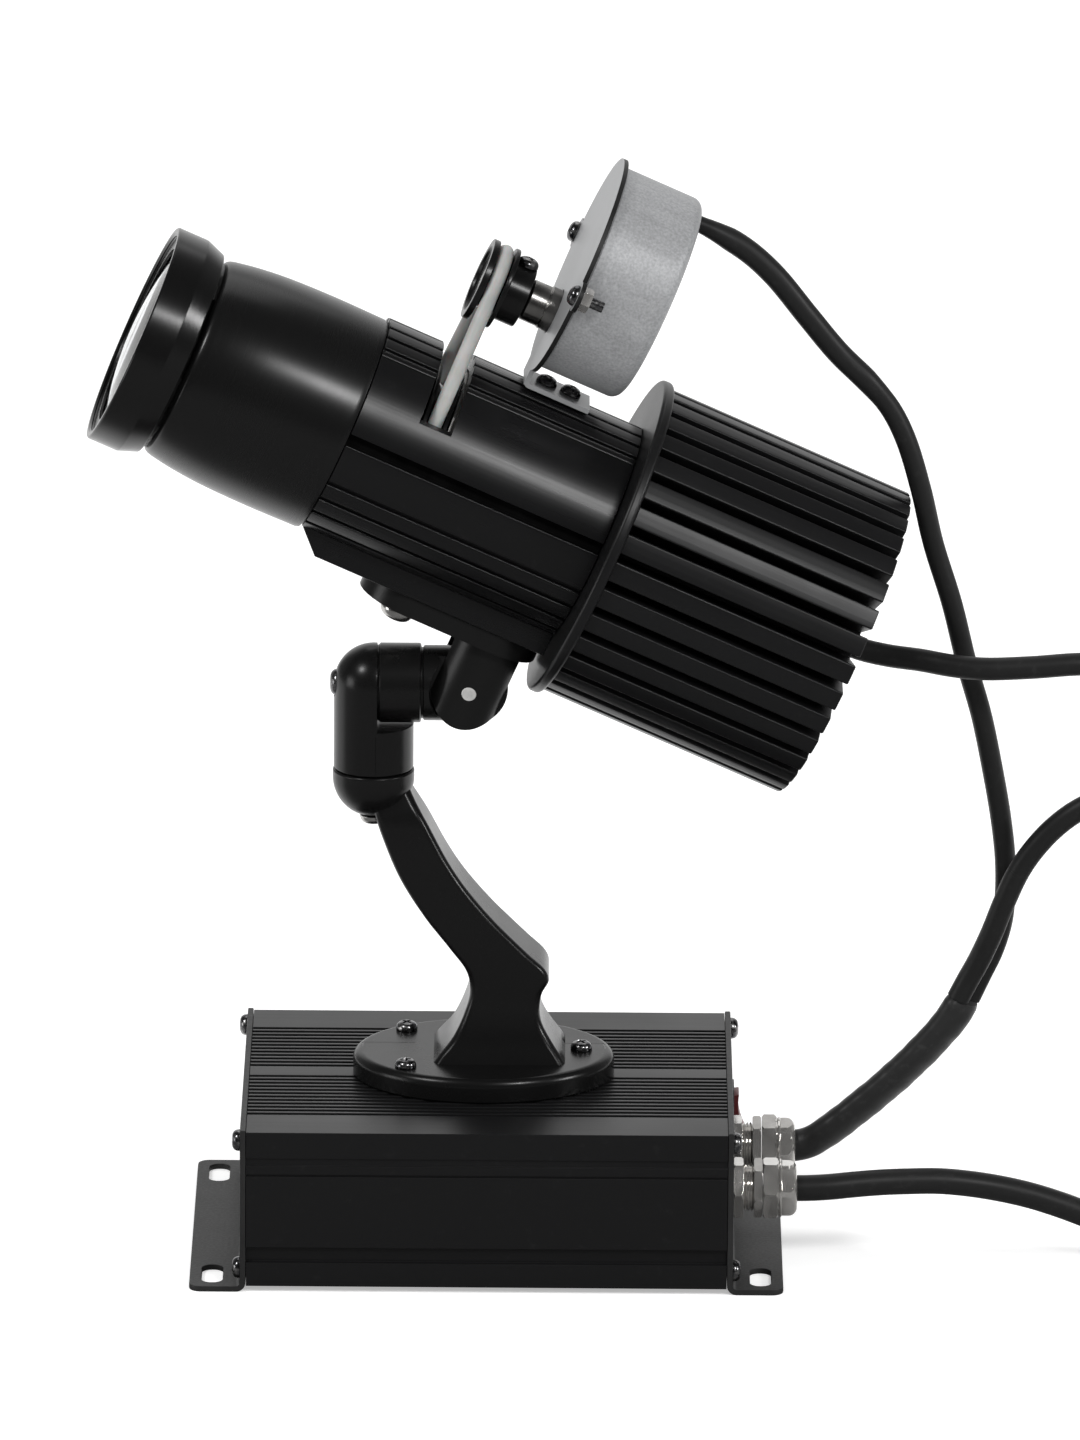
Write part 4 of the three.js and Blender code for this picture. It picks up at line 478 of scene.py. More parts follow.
sleeve_wide, sleeve_thick, sleeve_round = 6.3, 3.8, 4.1
sleeve_line = curved(sleeve_route, 0.8)
share = np.linspace(0, 1, len(sleeve_line))
rounded = rise(share, 0.78, 0.18)
wrinkle = 0.12 * np.sin(share * 61) * np.sin(share * 23 + 1) * (1 - rounded)
lip = 1 - 0.12 * np.clip(1 - share / 0.02, 0, 1)
wide = (sleeve_wide + (sleeve_round - sleeve_wide) * rounded + wrinkle) * lip
thick = (sleeve_thick + (sleeve_round - sleeve_thick) * rounded - wrinkle) * lip
sleeve = shell("shrunk_sleeve", lattice(tube(sleeve_line, wide, thick, guide=(0.52, 0.82, -0.24), sides=40)))
sleeve.data.materials.append(jacket("shrink_tube", 0.02, 0.4, 0.9).material)
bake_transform(sleeve)
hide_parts("lead_sleeve")


def lead(name, route, radius, cuts, node):
    """One lead as three tubes that meet end to end. cuts are the points of the route where the
    tilt piece and the roll piece end."""
    line = curved(route, 1.3)
    first, second = (int(np.argmin(np.linalg.norm(line - route[cut], axis=1))) for cut in cuts)
    stretches = [line[:first + 1], line[first:second + 1], line[second:]]
    for index, stretch in enumerate(stretches):
        piece = shell(f"{name}_{index + 1}", lattice(tube(stretch, radius(stretch), sides=20)))
        piece.data.materials.append(pvc.material)
        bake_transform(piece)
        2 * float(np.median(radius(stretch))) / 1000
        if index == 0:
            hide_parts(node)


motor_half, light_half, shrunk_above, can_above = 2.72, 2.95, 224, 266


def motor_radius(line):
    """A little more over the upper third, which is in a shrunk tube, and less where it leaves the can."""
    upper = np.clip((line[:, 2] - shrunk_above) / 5, 0, 1)
    start = np.clip((line[:, 2] - can_above) / 4, 0, 1)
    return motor_half + 0.3 * upper - 0.9 * start


def light_radius(line):
    """The same along the whole lead."""
    return np.full(len(line), light_half)


lead("motor_flex", motor_route, motor_radius, (14, 17), "motor_lead")
lead("light_flex", light_route, light_radius, (11, 18), "led_lead")


# Base box. One length of hollow aluminium extrusion, anodised black: two bands of fine grooves on
# top, and a step, a line and a channel along the front and the back. The saw cut ends are covered.
def eased(points, radius, steps=3, closed=True):
    """Outline whose corners are parabolas that begin radius before each point, less on short edges."""
    p = np.asarray(points, float)
    back_edge, next_edge = np.roll(p, 1, axis=0) - p, np.roll(p, -1, axis=0) - p
    back_length = np.linalg.norm(back_edge, axis=1)[:, None]
    next_length = np.linalg.norm(next_edge, axis=1)[:, None]
    a = p + back_edge * np.minimum(radius / back_length, 0.45)
    b = p + next_edge * np.minimum(radius / next_length, 0.45)
    u = np.linspace(0, 1, steps + 1)[:, None, None]
    out = ((1 - u) ** 2 * a + 2 * u * (1 - u) * p + u ** 2 * b).transpose(1, 0, 2)
    if closed:
        return out.reshape(-1, 2)
    return np.concatenate([p[:1], out[1:-1].reshape(-1, 2), p[-1:]])


def prism(outline, start, end, axis=0, start_share=1):
    """Outline carried along an axis from start to end, capped; start_share scales its first ring."""
    flat = np.asarray(outline, float)
    rings = [np.insert(flat * share, axis, at, axis=1) for at, share in ((start, start_share), (end, 1))]
    cap = [list(range(len(flat)))]
    return [lattice(np.stack(rings)), (rings[0], cap), (rings[1], cap)]


def rectangle(x0, x1, y0, y1):
    """Outline of a rectangle."""
    return [(x0, y0), (x1, y0), (x1, y1), (x0, y1)]


def brick(name, x0, x1, y0, y1, z0, z1):
    """Plain box."""
    return shell(name, *prism(rectangle(x0, x1, y0, y1), z0, z1, axis=2))


box_half, box_depth, box_low, box_top = 61.5, 50.6, 1.6, 43
band_shares = [0.14, 0.33, 0.06, 0.33, 0.14]
groove_depth, groove_share, groove_count = 0.8, 0.5, 12
box_notches = [(7, 1.9, 0.5), (11.3, 0.5, 0.5), (31, 4, 1.4)]


def box_outline():
    """Outline of the extrusion in (y, z): one side with its notches, the grooved top, the other side."""
    side = [(box_depth, box_low)]
    for drop, tall, deep in reversed(box_notches):
        top = box_top - drop
        side += [(box_depth, top - tall), (box_depth - deep, top - tall),
                 (box_depth - deep, top), (box_depth, top)]
    side.append((box_depth, box_top))
    grooves = []
    start = box_depth
    for index, share in enumerate(band_shares):
        band = share * 2 * box_depth
        pitch = band / groove_count
        reach = pitch * groove_share / 2
        for middle in (start - (np.arange(groove_count) + 0.5) * pitch) if index % 2 else ():
            grooves += [(middle + reach, box_top), (middle + reach, box_top - groove_depth),
                        (middle - reach, box_top - groove_depth), (middle - reach, box_top)]
        start -= band
    return side + grooves + [(-y, z) for y, z in reversed(side)]


def anodised(name, tone, gloss, tilt=0):
    """Black anodised aluminium: die lines along the extrusion, cloudy gloss and a few rubbed marks."""
    paint = Paint(name, specular_ior_level=0.27)
    lines = paint.noise(1, 4, 0.7, paint.grain((14, 1500, 1500), tilt))
    cloud = paint.noise(26, 4)
    rubbed = paint.ramp(paint.noise(310, 6, 0.7), (0.6, 0), (0.74, 1))
    paint.put("Base Color", paint.blend(rubbed * 0.5 * cloud, (tone, tone, tone * 1.06), (tone * 3.4,) * 3))
    paint.put("Roughness", cloud * 0.16 + lines * 0.1 + (gloss - 0.12))
    return paint.bump(lines, 0.22, 0.03)


box_paint = anodised("box_anodising", 0.0055, 0.34)
box = shell("grooved_box", *prism(eased(box_outline(), 0.32), -box_half, box_half), flats=True)
fit(box, "base", "black_anodised", box_paint, "base_extrusion")


# End plates. Steel sheet bent outwards at the bottom into a foot with two slots, painted black with
# a fine texture; four pan head screws hold each plate in the screw ports of the extrusion.
def carve(piece, *tools, mode="DIFFERENCE"):
    """Cuts the tools' closed shapes out of a piece, or with mode UNION or INTERSECT joins or keeps."""
    for tool in tools:
        change = piece.modifiers.new("shape", "BOOLEAN")
        change.solver = "EXACT"
        change.operation = mode
        change.object = tool
    settle(piece)
    for tool in tools:
        bpy.data.objects.remove(tool)
    return piece


def edged(piece, width, segments=2, angle=34, crease=40):
    """Breaks the edges sharper than angle degrees over a width in millimetres."""
    work = bmesh.new()
    work.from_mesh(piece.data)
    bmesh.ops.remove_doubles(work, verts=work.verts, dist=4e-6)
    bmesh.ops.dissolve_degenerate(work, dist=2e-6, edges=work.edges)
    bmesh.ops.dissolve_limit(work, angle_limit=math.radians(0.6), verts=work.verts, edges=work.edges)
    work.to_mesh(piece.data)
    work.free()
    bevel = piece.modifiers.new("edge", "BEVEL")
    bevel.width, bevel.segments = width / 1000, segments
    bevel.limit_method, bevel.angle_limit = "ANGLE", math.radians(angle)
    settle(piece)
    smooth(piece, crease, flats=True)
    return piece


def arc(cx, cy, radius, start, end, steps=16):
    """Points of an arc about (cx, cy) between two angles in degrees."""
    a = np.radians(np.linspace(start, end, steps + 1))
    return np.stack([cx + radius * np.cos(a), cy + radius * np.sin(a)], axis=1).tolist()


def capsule(length, half, cx=0, cy=0, along_y=False):
    """Outline of a slot with half round ends, long along x or along y."""
    straight = length / 2 - half
    points = np.array(arc(straight, 0, half, -90, 90) + arc(-straight, 0, half, 90, 270))
    return (points[:, ::-1] if along_y else points) + (cx, cy)


plate_inner, plate_outer, plate_top, plate_bend, foot_end, foot_corner = 61.6, 63.1, 43.5, 1, 76.1, 3
slot_x, slot_y, slot_length, slot_half = 70.3, 40.3, 13.6, 2.7
outer_bend = plate_bend + plate_outer - plate_inner
bend_x = plate_inner + outer_bend
plate_profile = (
    [(plate_outer, plate_top), (plate_inner, plate_top)]
    + arc(bend_x, outer_bend, outer_bend, 180, 270)
    + [(foot_end, 0), (foot_end, plate_outer - plate_inner)]
    + arc(bend_x, outer_bend, plate_bend, 270, 180))
foot_plan = (
    [(plate_inner - 2, box_depth), (plate_inner - 2, -box_depth)]
    + arc(foot_end - foot_corner, foot_corner - box_depth, foot_corner, -90, 0)
    + arc(foot_end - foot_corner, box_depth - foot_corner, foot_corner, 0, 90))
foot_slots = [capsule(slot_length, slot_half, slot_x, side * slot_y, True) for side in (-1, 1)]
plate_paint = Paint("textured_black", specular_ior_level=0.26)
speckle = plate_paint.noise(1300, 2)
plate_paint.tint(plate_paint.noise(70, 5, 0.6), 0.013, 0.022, end=0.75)
plate_paint.put("Roughness", speckle * 0.2 + 0.36)
plate_paint.bump(speckle, 0.5, 0.06)
for name, half_turn in (("end_plate_right", 0), ("end_plate_left", math.pi)):
    sheet = shell(f"{name}_sheet", *prism(plate_profile, -box_depth, box_depth, axis=1))
    carve(sheet, shell("plan", *prism(foot_plan, -5, 60, axis=2)), mode="INTERSECT")
    carve(sheet, *[shell("slot", *prism(slot, -4, 6, axis=2)) for slot in foot_slots])
    edged(sheet, 0.28)
    sheet.data.transform(Matrix.Rotation(half_turn, 4, "Z"))
    fit(sheet, "base", "black_plate", plate_paint, name)


def taken(piece):
    """(points, faces) of a piece in millimetres; the piece itself goes."""
    mesh = piece.data
    points = np.empty(len(mesh.vertices) * 3)
    mesh.vertices.foreach_get("co", points)
    faces = [list(face.vertices) for face in mesh.polygons]
    bpy.data.objects.remove(piece)
    return points.reshape(-1, 3) * 1000, faces


def pan_screw(length, radius=2.8, height=2.1, shank=1.4, cross=0.56):
    """Pan head screw along +z, its head's seat at the origin, with a cross recess of that share."""
    dome = [(math.cos(t) ** 0.62, math.sin(t) ** 0.8) for t in np.radians(np.linspace(12, 84, 9))]
    profile = ([(0, -length), (shank, -length), (shank, 0), (radius, 0)]
               + [(radius * x, height * z) for x, z in dome] + [(0, height)])
    head = lathe("screw", eased(profile, 0.12, 2, closed=False), 40, axis=2)
    long, wide = radius * cross, radius * 0.15
    arms = [(long, -wide), (long, wide), (wide, wide), (wide, long), (-wide, long), (-wide, wide),
            (-long, wide), (-long, -wide), (-wide, -wide), (-wide, -long), (wide, -long), (wide, -wide)]
    carve(head, shell("cross", *prism(arms, height * 0.35, height * 1.1, axis=2, start_share=0.55)))
    return taken(head)


def at(x, y, z, *turns):
    """Matrix of a place in millimetres after turns given as (degrees, axis)."""
    place = Matrix.Translation((x, y, z))
    for degrees, axis in turns:
        place = place @ Matrix.Rotation(math.radians(degrees), 4, axis)
    return place


port_y, port_low, port_high = 47.2, 5.6, 39.9
points, faces = pan_screw(7)
ports = [(-port_y, port_low, 20), (port_y, port_low, 65), (-port_y, port_high, 8), (port_y, port_high, 41)]
plate_screws = [
    (moved(points, at(side * plate_outer, y, z, (side * 90, "Y"), (turn_by, "Z"))), faces)
    for side in (-1, 1) for y, z, turn_by in ports]
dark_steel = Paint("blackened_steel", metallic=1)
worn = dark_steel.ramp(dark_steel.noise(700, 5, 0.65), (0.45, 0), (0.7, 1))
dark_steel.put("Base Color", dark_steel.blend(worn, (0.10, 0.10, 0.105), (0.34, 0.335, 0.33)))
dark_steel.put("Roughness", worn * 0.14 + 0.2)
fit(shell("end_plate_screws", *plate_screws), "base", "dark_steel", dark_steel)


# Support arm. One zinc casting in satin black: an oval flange with a rounded rim, a curved arm with
# softly rounded edges that flares into the flange, and a deep round cup under the knuckle.
flange_x, flange_half, flange_depth, flange_low, flange_top, flange_round = -1.2, 33.7, 26.5, 43.1, 49.4, 2.4
pan_x, cup_radius, cup_centre, cup_rim = -29.9, 10.5, 123.0, 125.2
arm_half, arm_rise = 10.25, cup_rim - flange_top
left_shares = [
    (-0.03, 0.5), (0.02, 0.41), (0.08, 0.28), (0.16, 0.18), (0.24, 0.125), (0.31, 0.155),
    (0.392, 0.307), (0.5, 0.53), (0.635, 0.755), (0.773, 0.91), (0.86, 0.985), (0.97, 1.04)]
right_shares = [
    (-0.03, -0.78), (0.02, -0.7), (0.07, -0.61), (0.13, -0.525), (0.18, -0.5), (0.235, -0.52),
    (0.283, -0.583), (0.318, -0.55), (0.375, -0.394), (0.43, -0.245), (0.488, -0.094), (0.554, 0.06),
    (0.625, 0.206), (0.708, 0.345), (0.823, 0.505), (0.911, 0.635), (0.97, 0.71)]
thick_shares = [
    (-0.03, 1.38), (0.02, 1.26), (0.08, 1.12), (0.14, 1.04), (0.2, 1), (0.4, 1), (0.6, 0.93),
    (0.78, 0.86), (0.86, 0.78), (0.92, 0.6), (0.97, 0.4)]
arm_rows = np.linspace(left_shares[0][0], left_shares[-1][0], 110)


def arm_edge(shares, size):
    """Edge of the arm as a smooth curve through its points: sizes at the heights of arm_rows."""
    line = curved(np.array(shares) * (arm_rise, size), 0.4)
    return np.interp(arm_rows * arm_rise, line[:, 0], line[:, 1])


def arm_surface():
    """Rounded rectangles stacked along the arm's height, between its left and right edges."""
    x0 = flange_x - arm_edge(left_shares, flange_x - pan_x)
    x1 = flange_x - arm_edge(right_shares, flange_x - pan_x)
    y = arm_edge(thick_shares, arm_half)
    corner = np.minimum(2.0, y * 0.7)
    rings = []
    for sx, sy, start in ((1, 1, 0), (-1, 1, 90), (-1, -1, 180), (1, -1, 270)):
        a = np.radians(np.linspace(start, start + 90, 9))
        cx = (x1 - corner if sx > 0 else x0 + corner)[:, None]
        cy = (sy * (y - corner))[:, None]
        rings.append(np.stack([cx + corner[:, None] * np.cos(a), cy + corner[:, None] * np.sin(a)], -1))
    flat = np.concatenate(rings, axis=1)
    z = flange_top + arm_rise * arm_rows
    grid = np.concatenate([flat, np.repeat(z[:, None, None], flat.shape[1], axis=1)], axis=2)
    ends = [np.repeat(grid[i].mean(axis=0)[None, None], grid.shape[1], axis=1) for i in (0, -1)]
    return np.concatenate([ends[0], grid, ends[1]])


arm = shell("cast_arm", lattice(arm_surface()), crease=50)
rim_arc = arc(flange_half - flange_round, flange_top - flange_round, flange_round, 0, 90, 10)
rim_profile = [(0, flange_low), (flange_half - 0.4, flange_low), (flange_half, flange_low + 0.4), *rim_arc,
               (0, flange_top)]
oval = turned(rim_profile, 128, axis=2)
oval[..., 1] *= flange_depth / flange_half
flange = shell("flange", lattice(oval + (flange_x, 0, 0)))
cup_edge = 0.5
cup_profile = [
    *arc(0, cup_centre, cup_radius, -90, 0, 20), (cup_radius, cup_rim - cup_edge),
    *arc(cup_radius - cup_edge, cup_rim - cup_edge, cup_edge, 0, 90, 4), (0, cup_rim)]
cup = lathe("cup", cup_profile, 96, 2, (pan_x, 0, 0))
carve(arm, flange, cup, mode="UNION")
pocket_radius, pan_seat = 3.8, 112.8
carve(arm, bar("pocket", pocket_radius, 100, pan_seat, 2, (pan_x, 0, 0), 40))
edged(arm, 0.5, segments=3, angle=38, crease=44)
seam_y, seam_wide, seam_deep = 4.4, 0.22, 0.14
for x0, x1 in ((-34, -19), (18, 31.6)):
    carve(arm, brick("seam", x0, x1, seam_y, seam_y + seam_wide, flange_top - seam_deep, flange_top + 1.6))
smooth(arm, 44, flats=True)


def satin(name, tone, gloss, peel=0.25):
    """Satin black paint on a casting: a slight orange peel, dust specks and a cloudy gloss."""
    paint = Paint(name, specular_ior_level=0.25)
    cloud = paint.noise(38, 5, 0.6)
    speck = paint.ramp(paint.noise(1300, 3, 0.7), (0.7, 0), (0.8, 1))
    paint.put("Base Color", paint.blend(speck, (tone,) * 3, (tone * 4,) * 3))
    paint.put("Roughness", cloud * 0.14 + (gloss - 0.06) + speck * 0.1)
    return paint.bump(paint.noise(240, 3), peel, 0.06)


casting = satin("satin_black", 0.005, 0.25)
fit(arm, "base", "black_casting", casting, "support_arm")
flange_screw, flange_holes = pan_screw(13.3), [(-21.2, -15.5, 12), (-21.2, 15.5, 50), (24.0, 0, 33)]
for index, (x, y, turn_by) in enumerate(flange_holes):
    place = at(x, y, flange_top + 0.1, (turn_by, "Z"))
    piece = shell(f"flange_screw_{index + 1}", flange_screw, place=place)
    fit(piece, "base", "dark_steel", dark_steel, f"arm_screw_{index + 1}")


# Cable glands. Nickel plated brass: a threaded body with a hexagon ring, a lock nut against the end
# plate and a dome cap whose hexagon is screwed down on the cable.
gland_z = 22.2


def hexagon(flats, turn_by):
    """Outline of a hexagon of that size across flats, turned by degrees."""
    a = np.radians(np.arange(6) * 60 + turn_by)
    return np.stack([np.cos(a), np.sin(a)], axis=1) * flats / math.sqrt(3)


def hex_piece(name, flats, start, end, chamfer, turn_by, *extra):
    """Hexagon along x with its corners turned down by a chamfer at both ends, joined to extra turned
    shapes, each given with the flats of a hexagon that trims it, or 0."""
    made = shell(name, *prism(hexagon(flats, turn_by), start, end))
    corner = flats / math.sqrt(3)
    cone = [(0, start - 1), (corner - chamfer - 1, start - 1), (corner + 0.2, start + chamfer * 0.75),
            (corner + 0.2, end - chamfer * 0.75), (corner - chamfer - 1, end + 1), (0, end + 1)]
    carve(made, lathe("cone", cone, 72), mode="INTERSECT")
    for profile, trim in extra:
        part = lathe("part", profile, 72)
        if trim:
            carve(part, shell("flats", *prism(hexagon(trim, turn_by), 60, 90)), mode="INTERSECT")
        carve(made, part, mode="UNION")
    return edged(made, 0.16, segments=2, angle=24, crease=30)


ring_flats, ring_start, ring_end, ring_chamfer = 13.3, 68.5, 70.7, 0.7
gland_flats, nut_start, nut_end, hex_start, hex_end, gland_chamfer = 14, 63.2, 65.8, 70.9, 74.7, 0.9
thread_start, thread_end, thread_pitch, thread_root, thread_deep = 66, 68.4, 0.8, 5.4, 0.75
dome_start, dome_end, dome_radius, dome_round, mouth_edge = 74, 79.6, 7.25, 2.4, 0.5
ridges = [(thread_root + thread_deep * (index % 2), thread_start + index * thread_pitch / 2)
          for index in range(int((thread_end - thread_start) / thread_pitch * 2) + 1)]
collar = [(0, 74.4), (7.1, 74.4), (7.1, 74.9), (7.5, 75.1), (7.5, 75.5), (7.2, 75.7), (0, 75.7)]
thread = [(0, 56), (6.0, 56), (6.0, 65), *ridges, (5.7, 69), (0, 69)]
for name, y, mouth, cap_turn in (("mains", -30, 3.7, -5), ("lead", 4, 4.2, 8)):
    body = hex_piece(f"{name}_gland_ring", ring_flats, ring_start, ring_end, ring_chamfer, 8, (thread, 0))
    nut = hex_piece(f"{name}_gland_locknut", gland_flats, nut_start, nut_end, gland_chamfer, -3)
    dome = [
        (0, dome_start), (dome_radius, dome_start),
        *arc(dome_radius - dome_round, dome_end - dome_round, dome_round, 0, 74, 8),
        (mouth + mouth_edge, dome_end), (mouth, dome_end - mouth_edge), (mouth, 76), (0, 76)]
    cap = hex_piece(f"{name}_gland_dome", gland_flats, hex_start, hex_end, gland_chamfer, cap_turn,
                    (dome, ring_flats), (collar, 0))
    for piece, node in ((body, "body"), (nut, "nut"), (cap, "cap")):
        piece.data.transform(Matrix.Translation((0, y / 1000, gland_z / 1000)))
        fit(piece, "base", "nickel", nickel, f"{name}_gland_{node}")


# Rocker switch. A black snap-in frame in the right end plate, and a dark red rocker with a hollow
# face that lies tilted in its well.
switch_y, bezel_back, bezel_start, bezel_end, well_floor = 31, 47.6, 63.2, 64.0, 57.1
frame_half, well_half, body_half_z = (5.25, 7.5), (3.75, 6), 7.7
key_half, key_top, key_tall, key_dish_deep, key_back = 3.45, 3.3, 5.4, 0.9, -1.6
key_x, key_tilt = 63.0, 10


def about_switch(half_y, half_z, y=0, z=0):
    """Rectangle in (y, z) about the middle of the switch, or beside it by y and z."""
    return rectangle(switch_y + y - half_y, switch_y + y + half_y, gland_z + z - half_z, gland_z + z + half_z)


bezel = shell("switch_frame", *prism(eased(about_switch(*frame_half), 0.9, 4), bezel_back, bezel_end))
carve(bezel, shell("well", *prism(eased(about_switch(*well_half), 0.4, 3), well_floor, bezel_end + 2)))
for half_y, half_z, y, z in ((60, 1.2, 0, body_half_z), (1.2, 60, frame_half[0], 0)):
    sides = [about_switch(half_y, half_z, side * y, side * z) for side in (-1, 1)]
    carve(bezel, *[shell("side", *prism(outline, 40, bezel_start)) for outline in sides])
edged(bezel, 0.3)
fit(bezel, "base", "black_plastic", moulded, "switch_body")
key_dish = [(key_top - key_dish_deep + key_dish_deep * (z / key_tall) ** 2, z)
            for z in np.linspace(-4.6, 4.6, 13)]
key_outline = [(key_top, -key_tall), *key_dish, (key_top, key_tall), (key_back, key_tall), (-3.2, 0),
               (key_back, -key_tall)]
key_place = at(key_x, switch_y, gland_z, (-key_tilt, "Y"))
key = shell("rocker_key", *prism(eased(key_outline, 0.3, 2), -key_half, key_half, axis=1), place=key_place)
edged(key, 0.25)
red = Paint("dark_red_plastic", specular_ior_level=0.4)
red.tint(red.noise(120, 3), (0.09, 0.014, 0.016), (0.13, 0.022, 0.024))
red.put("Roughness", red.noise(300, 2) * 0.15 + 0.32)
fit(key, "rocker", "red_plastic", red, "switch_rocker")


# Driver. A board on the extrusion's ribs with its transformer, inside the closed box. Their packed
# solids stay in the scene, and get new materials only.
def repaint(paint, *nodes):
    """New material for CAD nodes that stay in the scene."""
    for node in nodes:
        bpy.data.objects[node].material_slots[0].material = paint.material


laminate = Paint("board_laminate", roughness=0.45)
laminate.tint(laminate.noise(240, 5), (0.012, 0.09, 0.04), (0.02, 0.14, 0.06), 0.4, 0.6)
repaint(laminate, "driver_board")
varnish = Paint("core_varnish", roughness=0.4)
varnish.tint(varnish.noise(1, 3, 0.5, varnish.grain((300, 8, 300))), 0.015, 0.05)
repaint(varnish, "driver_transformer")


# Knuckle. Two black castings: a domed post that pans on the cup, and a lug on its side that rolls
# and ends in a flat tongue for the fork. A screw from below and one from the left hold them.
elbow_radius, post_low, roll_z, split_x, pin_x, roll_seat = 10.25, 125.5, 148, -29.0, -5.5, -38.71
big_head = {"radius": 3.5, "height": 2.4, "shank": 2, "cross": 0.5}
post = [(0, post_low), (elbow_radius - 0.5, post_low),
        *arc(elbow_radius - 0.5, post_low + 0.5, 0.5, -90, 0, 4), *arc(0, roll_z, elbow_radius, 0, 90, 24)]
elbow = lathe("swivel_post", post, 128, 2, (pan_x, 0, 0))
carve(elbow, brick("window", split_x, 0, -20, 20, roll_z - elbow_radius - 0.5, 170),
      bar("seat", pocket_radius, -60, roll_seat, 0, (0, 0, roll_z)))
edged(elbow, 0.6, segments=3)
seam_x = pan_x + 0.5
carve(elbow, brick("seam", seam_x, seam_x + seam_wide, -11, -10.08, 120, roll_z - elbow_radius - 1.4))
smooth(elbow, 40, flats=True)
fit(elbow, "pan_link", "black_casting", casting, "swivel_elbow")
pan_place = at(pan_x, 0, pan_seat - 0.1, (180, "X"), (25, "Z"))
pan_bolt = shell("pan_bolt", pan_screw(24, **big_head), place=pan_place)
bright_steel = Paint("bright_steel", metallic=1)
drawn = bright_steel.noise(420, 4, 0.6)
bright_steel.tint(drawn, (0.34, 0.335, 0.325), (0.52, 0.51, 0.495))
bright_steel.put("Roughness", drawn * 0.2 + 0.14)
fit(pan_bolt, "pan_link", "bright_steel", bright_steel, "pan_screw")

tongue_half, tongue_tip, lug_start, lug_step, neck_radius = 4.7, 10, -28.96, -17.6, 9.7
ear_reach, pocket_reach, swing_turn = 10.1, 10.25, 8
lug_profile = [
    (0, lug_start), (neck_radius, lug_start), (neck_radius, lug_start + 0.36),
    (elbow_radius - 0.4, lug_start + 0.36), (elbow_radius, lug_start + 0.76),
    (elbow_radius, lug_step - 0.5), (elbow_radius - 0.3, lug_step - 0.2),
    (neck_radius - 0.5, lug_step - 0.1), (neck_radius - 0.5, lug_step + 0.35),
    (neck_radius, lug_step + 0.6), (neck_radius, pin_x), (0, pin_x)]
lug = lathe("swivel_tongue", lug_profile, 128, 0, (0, 0, roll_z))
carve(lug, bar("tip", tongue_tip, -tongue_half, tongue_half, 1, (pin_x, 0, roll_z)), mode="UNION")
swing = bar("swing", ear_reach + 0.3, 0.1, 22, 2)
swing.data.transform(Matrix.Translation((pin_x / 1000, 0, roll_z / 1000)) @ at(0, 0, 0, (swing_turn, "Y")))
pocket = bar("pocket", pocket_reach, -12, 12, 1, (pin_x, 0, roll_z))
carve(pocket, swing, mode="UNION")
carve(pocket, brick("tongue", -40, 20, -tongue_half, tongue_half, 120, 175))
carve(lug, pocket)
edged(lug, 0.35, segments=3)
fit(lug, "roll_link", "black_casting", casting, "swivel_lug")
roll_place = at(roll_seat - 0.1, 0, roll_z, (-90, "Y"), (10, "Z"))
roll_bolt = shell("roll_bolt", pan_screw(15, **big_head), place=roll_place)
fit(roll_bolt, "roll_link", "dark_steel", dark_steel, "roll_screw")

# Fork bracket. A casting with an oval plate under the barrel's rail and a round boss that is slotted
# for the tongue; two bright screws hold the plate, and a bright pin goes through both ears.
# From here on x is the station along the barrel's axis and z the height above it.
head_tilt, pin_station, pin_drop = 24, 57.6, 49.5
head_place = at(pin_x, 0, roll_z, (head_tilt, "Y")) @ Matrix.Translation((-pin_station, 0, pin_drop))
head_metres = Matrix.Translation(head_place.to_translation() / 1000) @ head_place.to_3x3().to_4x4()


def on_head(piece, slot, paint, *nodes, body="head"):
    """Takes a piece that was built in stations to its place on the head and fits it."""
    piece.data.transform(head_metres)
    return fit(piece, body, slot, paint, *nodes)


plate_length, plate_half, plate_middle, plate_low, plate_high = 49, 12.5, 45.6, -36.6, -31.7
ear_radius, ear_gap, rail_station, rail_apart, rail_hole = 9.8, 5, 32, 6.5, 2.3
fork_outline = capsule(plate_length, plate_half, plate_middle)
fork = shell("fork_plate", *prism(fork_outline, plate_low, plate_high, axis=2))
ears = bar("ears", ear_reach, -pin_drop - ear_radius, plate_low + 1, 2, (pin_station, 0, 0))
ear_shape = bar("ear_shape", ear_radius, -12, 12, 1, (pin_station, 0, -pin_drop))
upper = brick("upper", pin_station - 12, pin_station + 12, -12, 12, -pin_drop, plate_low + 1)
carve(ear_shape, upper, mode="UNION")
carve(ears, ear_shape, mode="INTERSECT")
carve(fork, ears, mode="UNION")
carve(fork, brick("slot", pin_station - 12, pin_station + 12, -ear_gap, ear_gap, -61, plate_low),
      *[bar("hole", rail_hole, -40, -30, 2, (rail_station, side * rail_apart, 0), 24) for side in (-1, 1)])
edged(fork, 0.5, segments=3)
grit = satin("cast_grain_black", 0.006, 0.3, peel=0.6)
on_head(fork, "black_casting", grit, "fork_bracket")
fork_screw = pan_screw(8.96, radius=4.5, height=3.2, shank=2, cross=0.5)
for index, side in enumerate((-1, 1)):
    place = at(rail_station, side * rail_apart, plate_low - 0.1, (180, "X"), (20, "Z"))
    piece = shell(f"rail_screw_{index + 1}", fork_screw, place=place)
    on_head(piece, "bright_steel", bright_steel, f"fork_screw_{index + 1}")
hinge_radius, hinge_half = 2.1, 10.1
hinge_profile = [
    (0, -hinge_half), (hinge_radius - 0.35, -hinge_half), (hinge_radius, 0.4 - hinge_half),
    (hinge_radius, hinge_half - 0.4), (hinge_radius - 0.35, hinge_half), (0, hinge_half)]
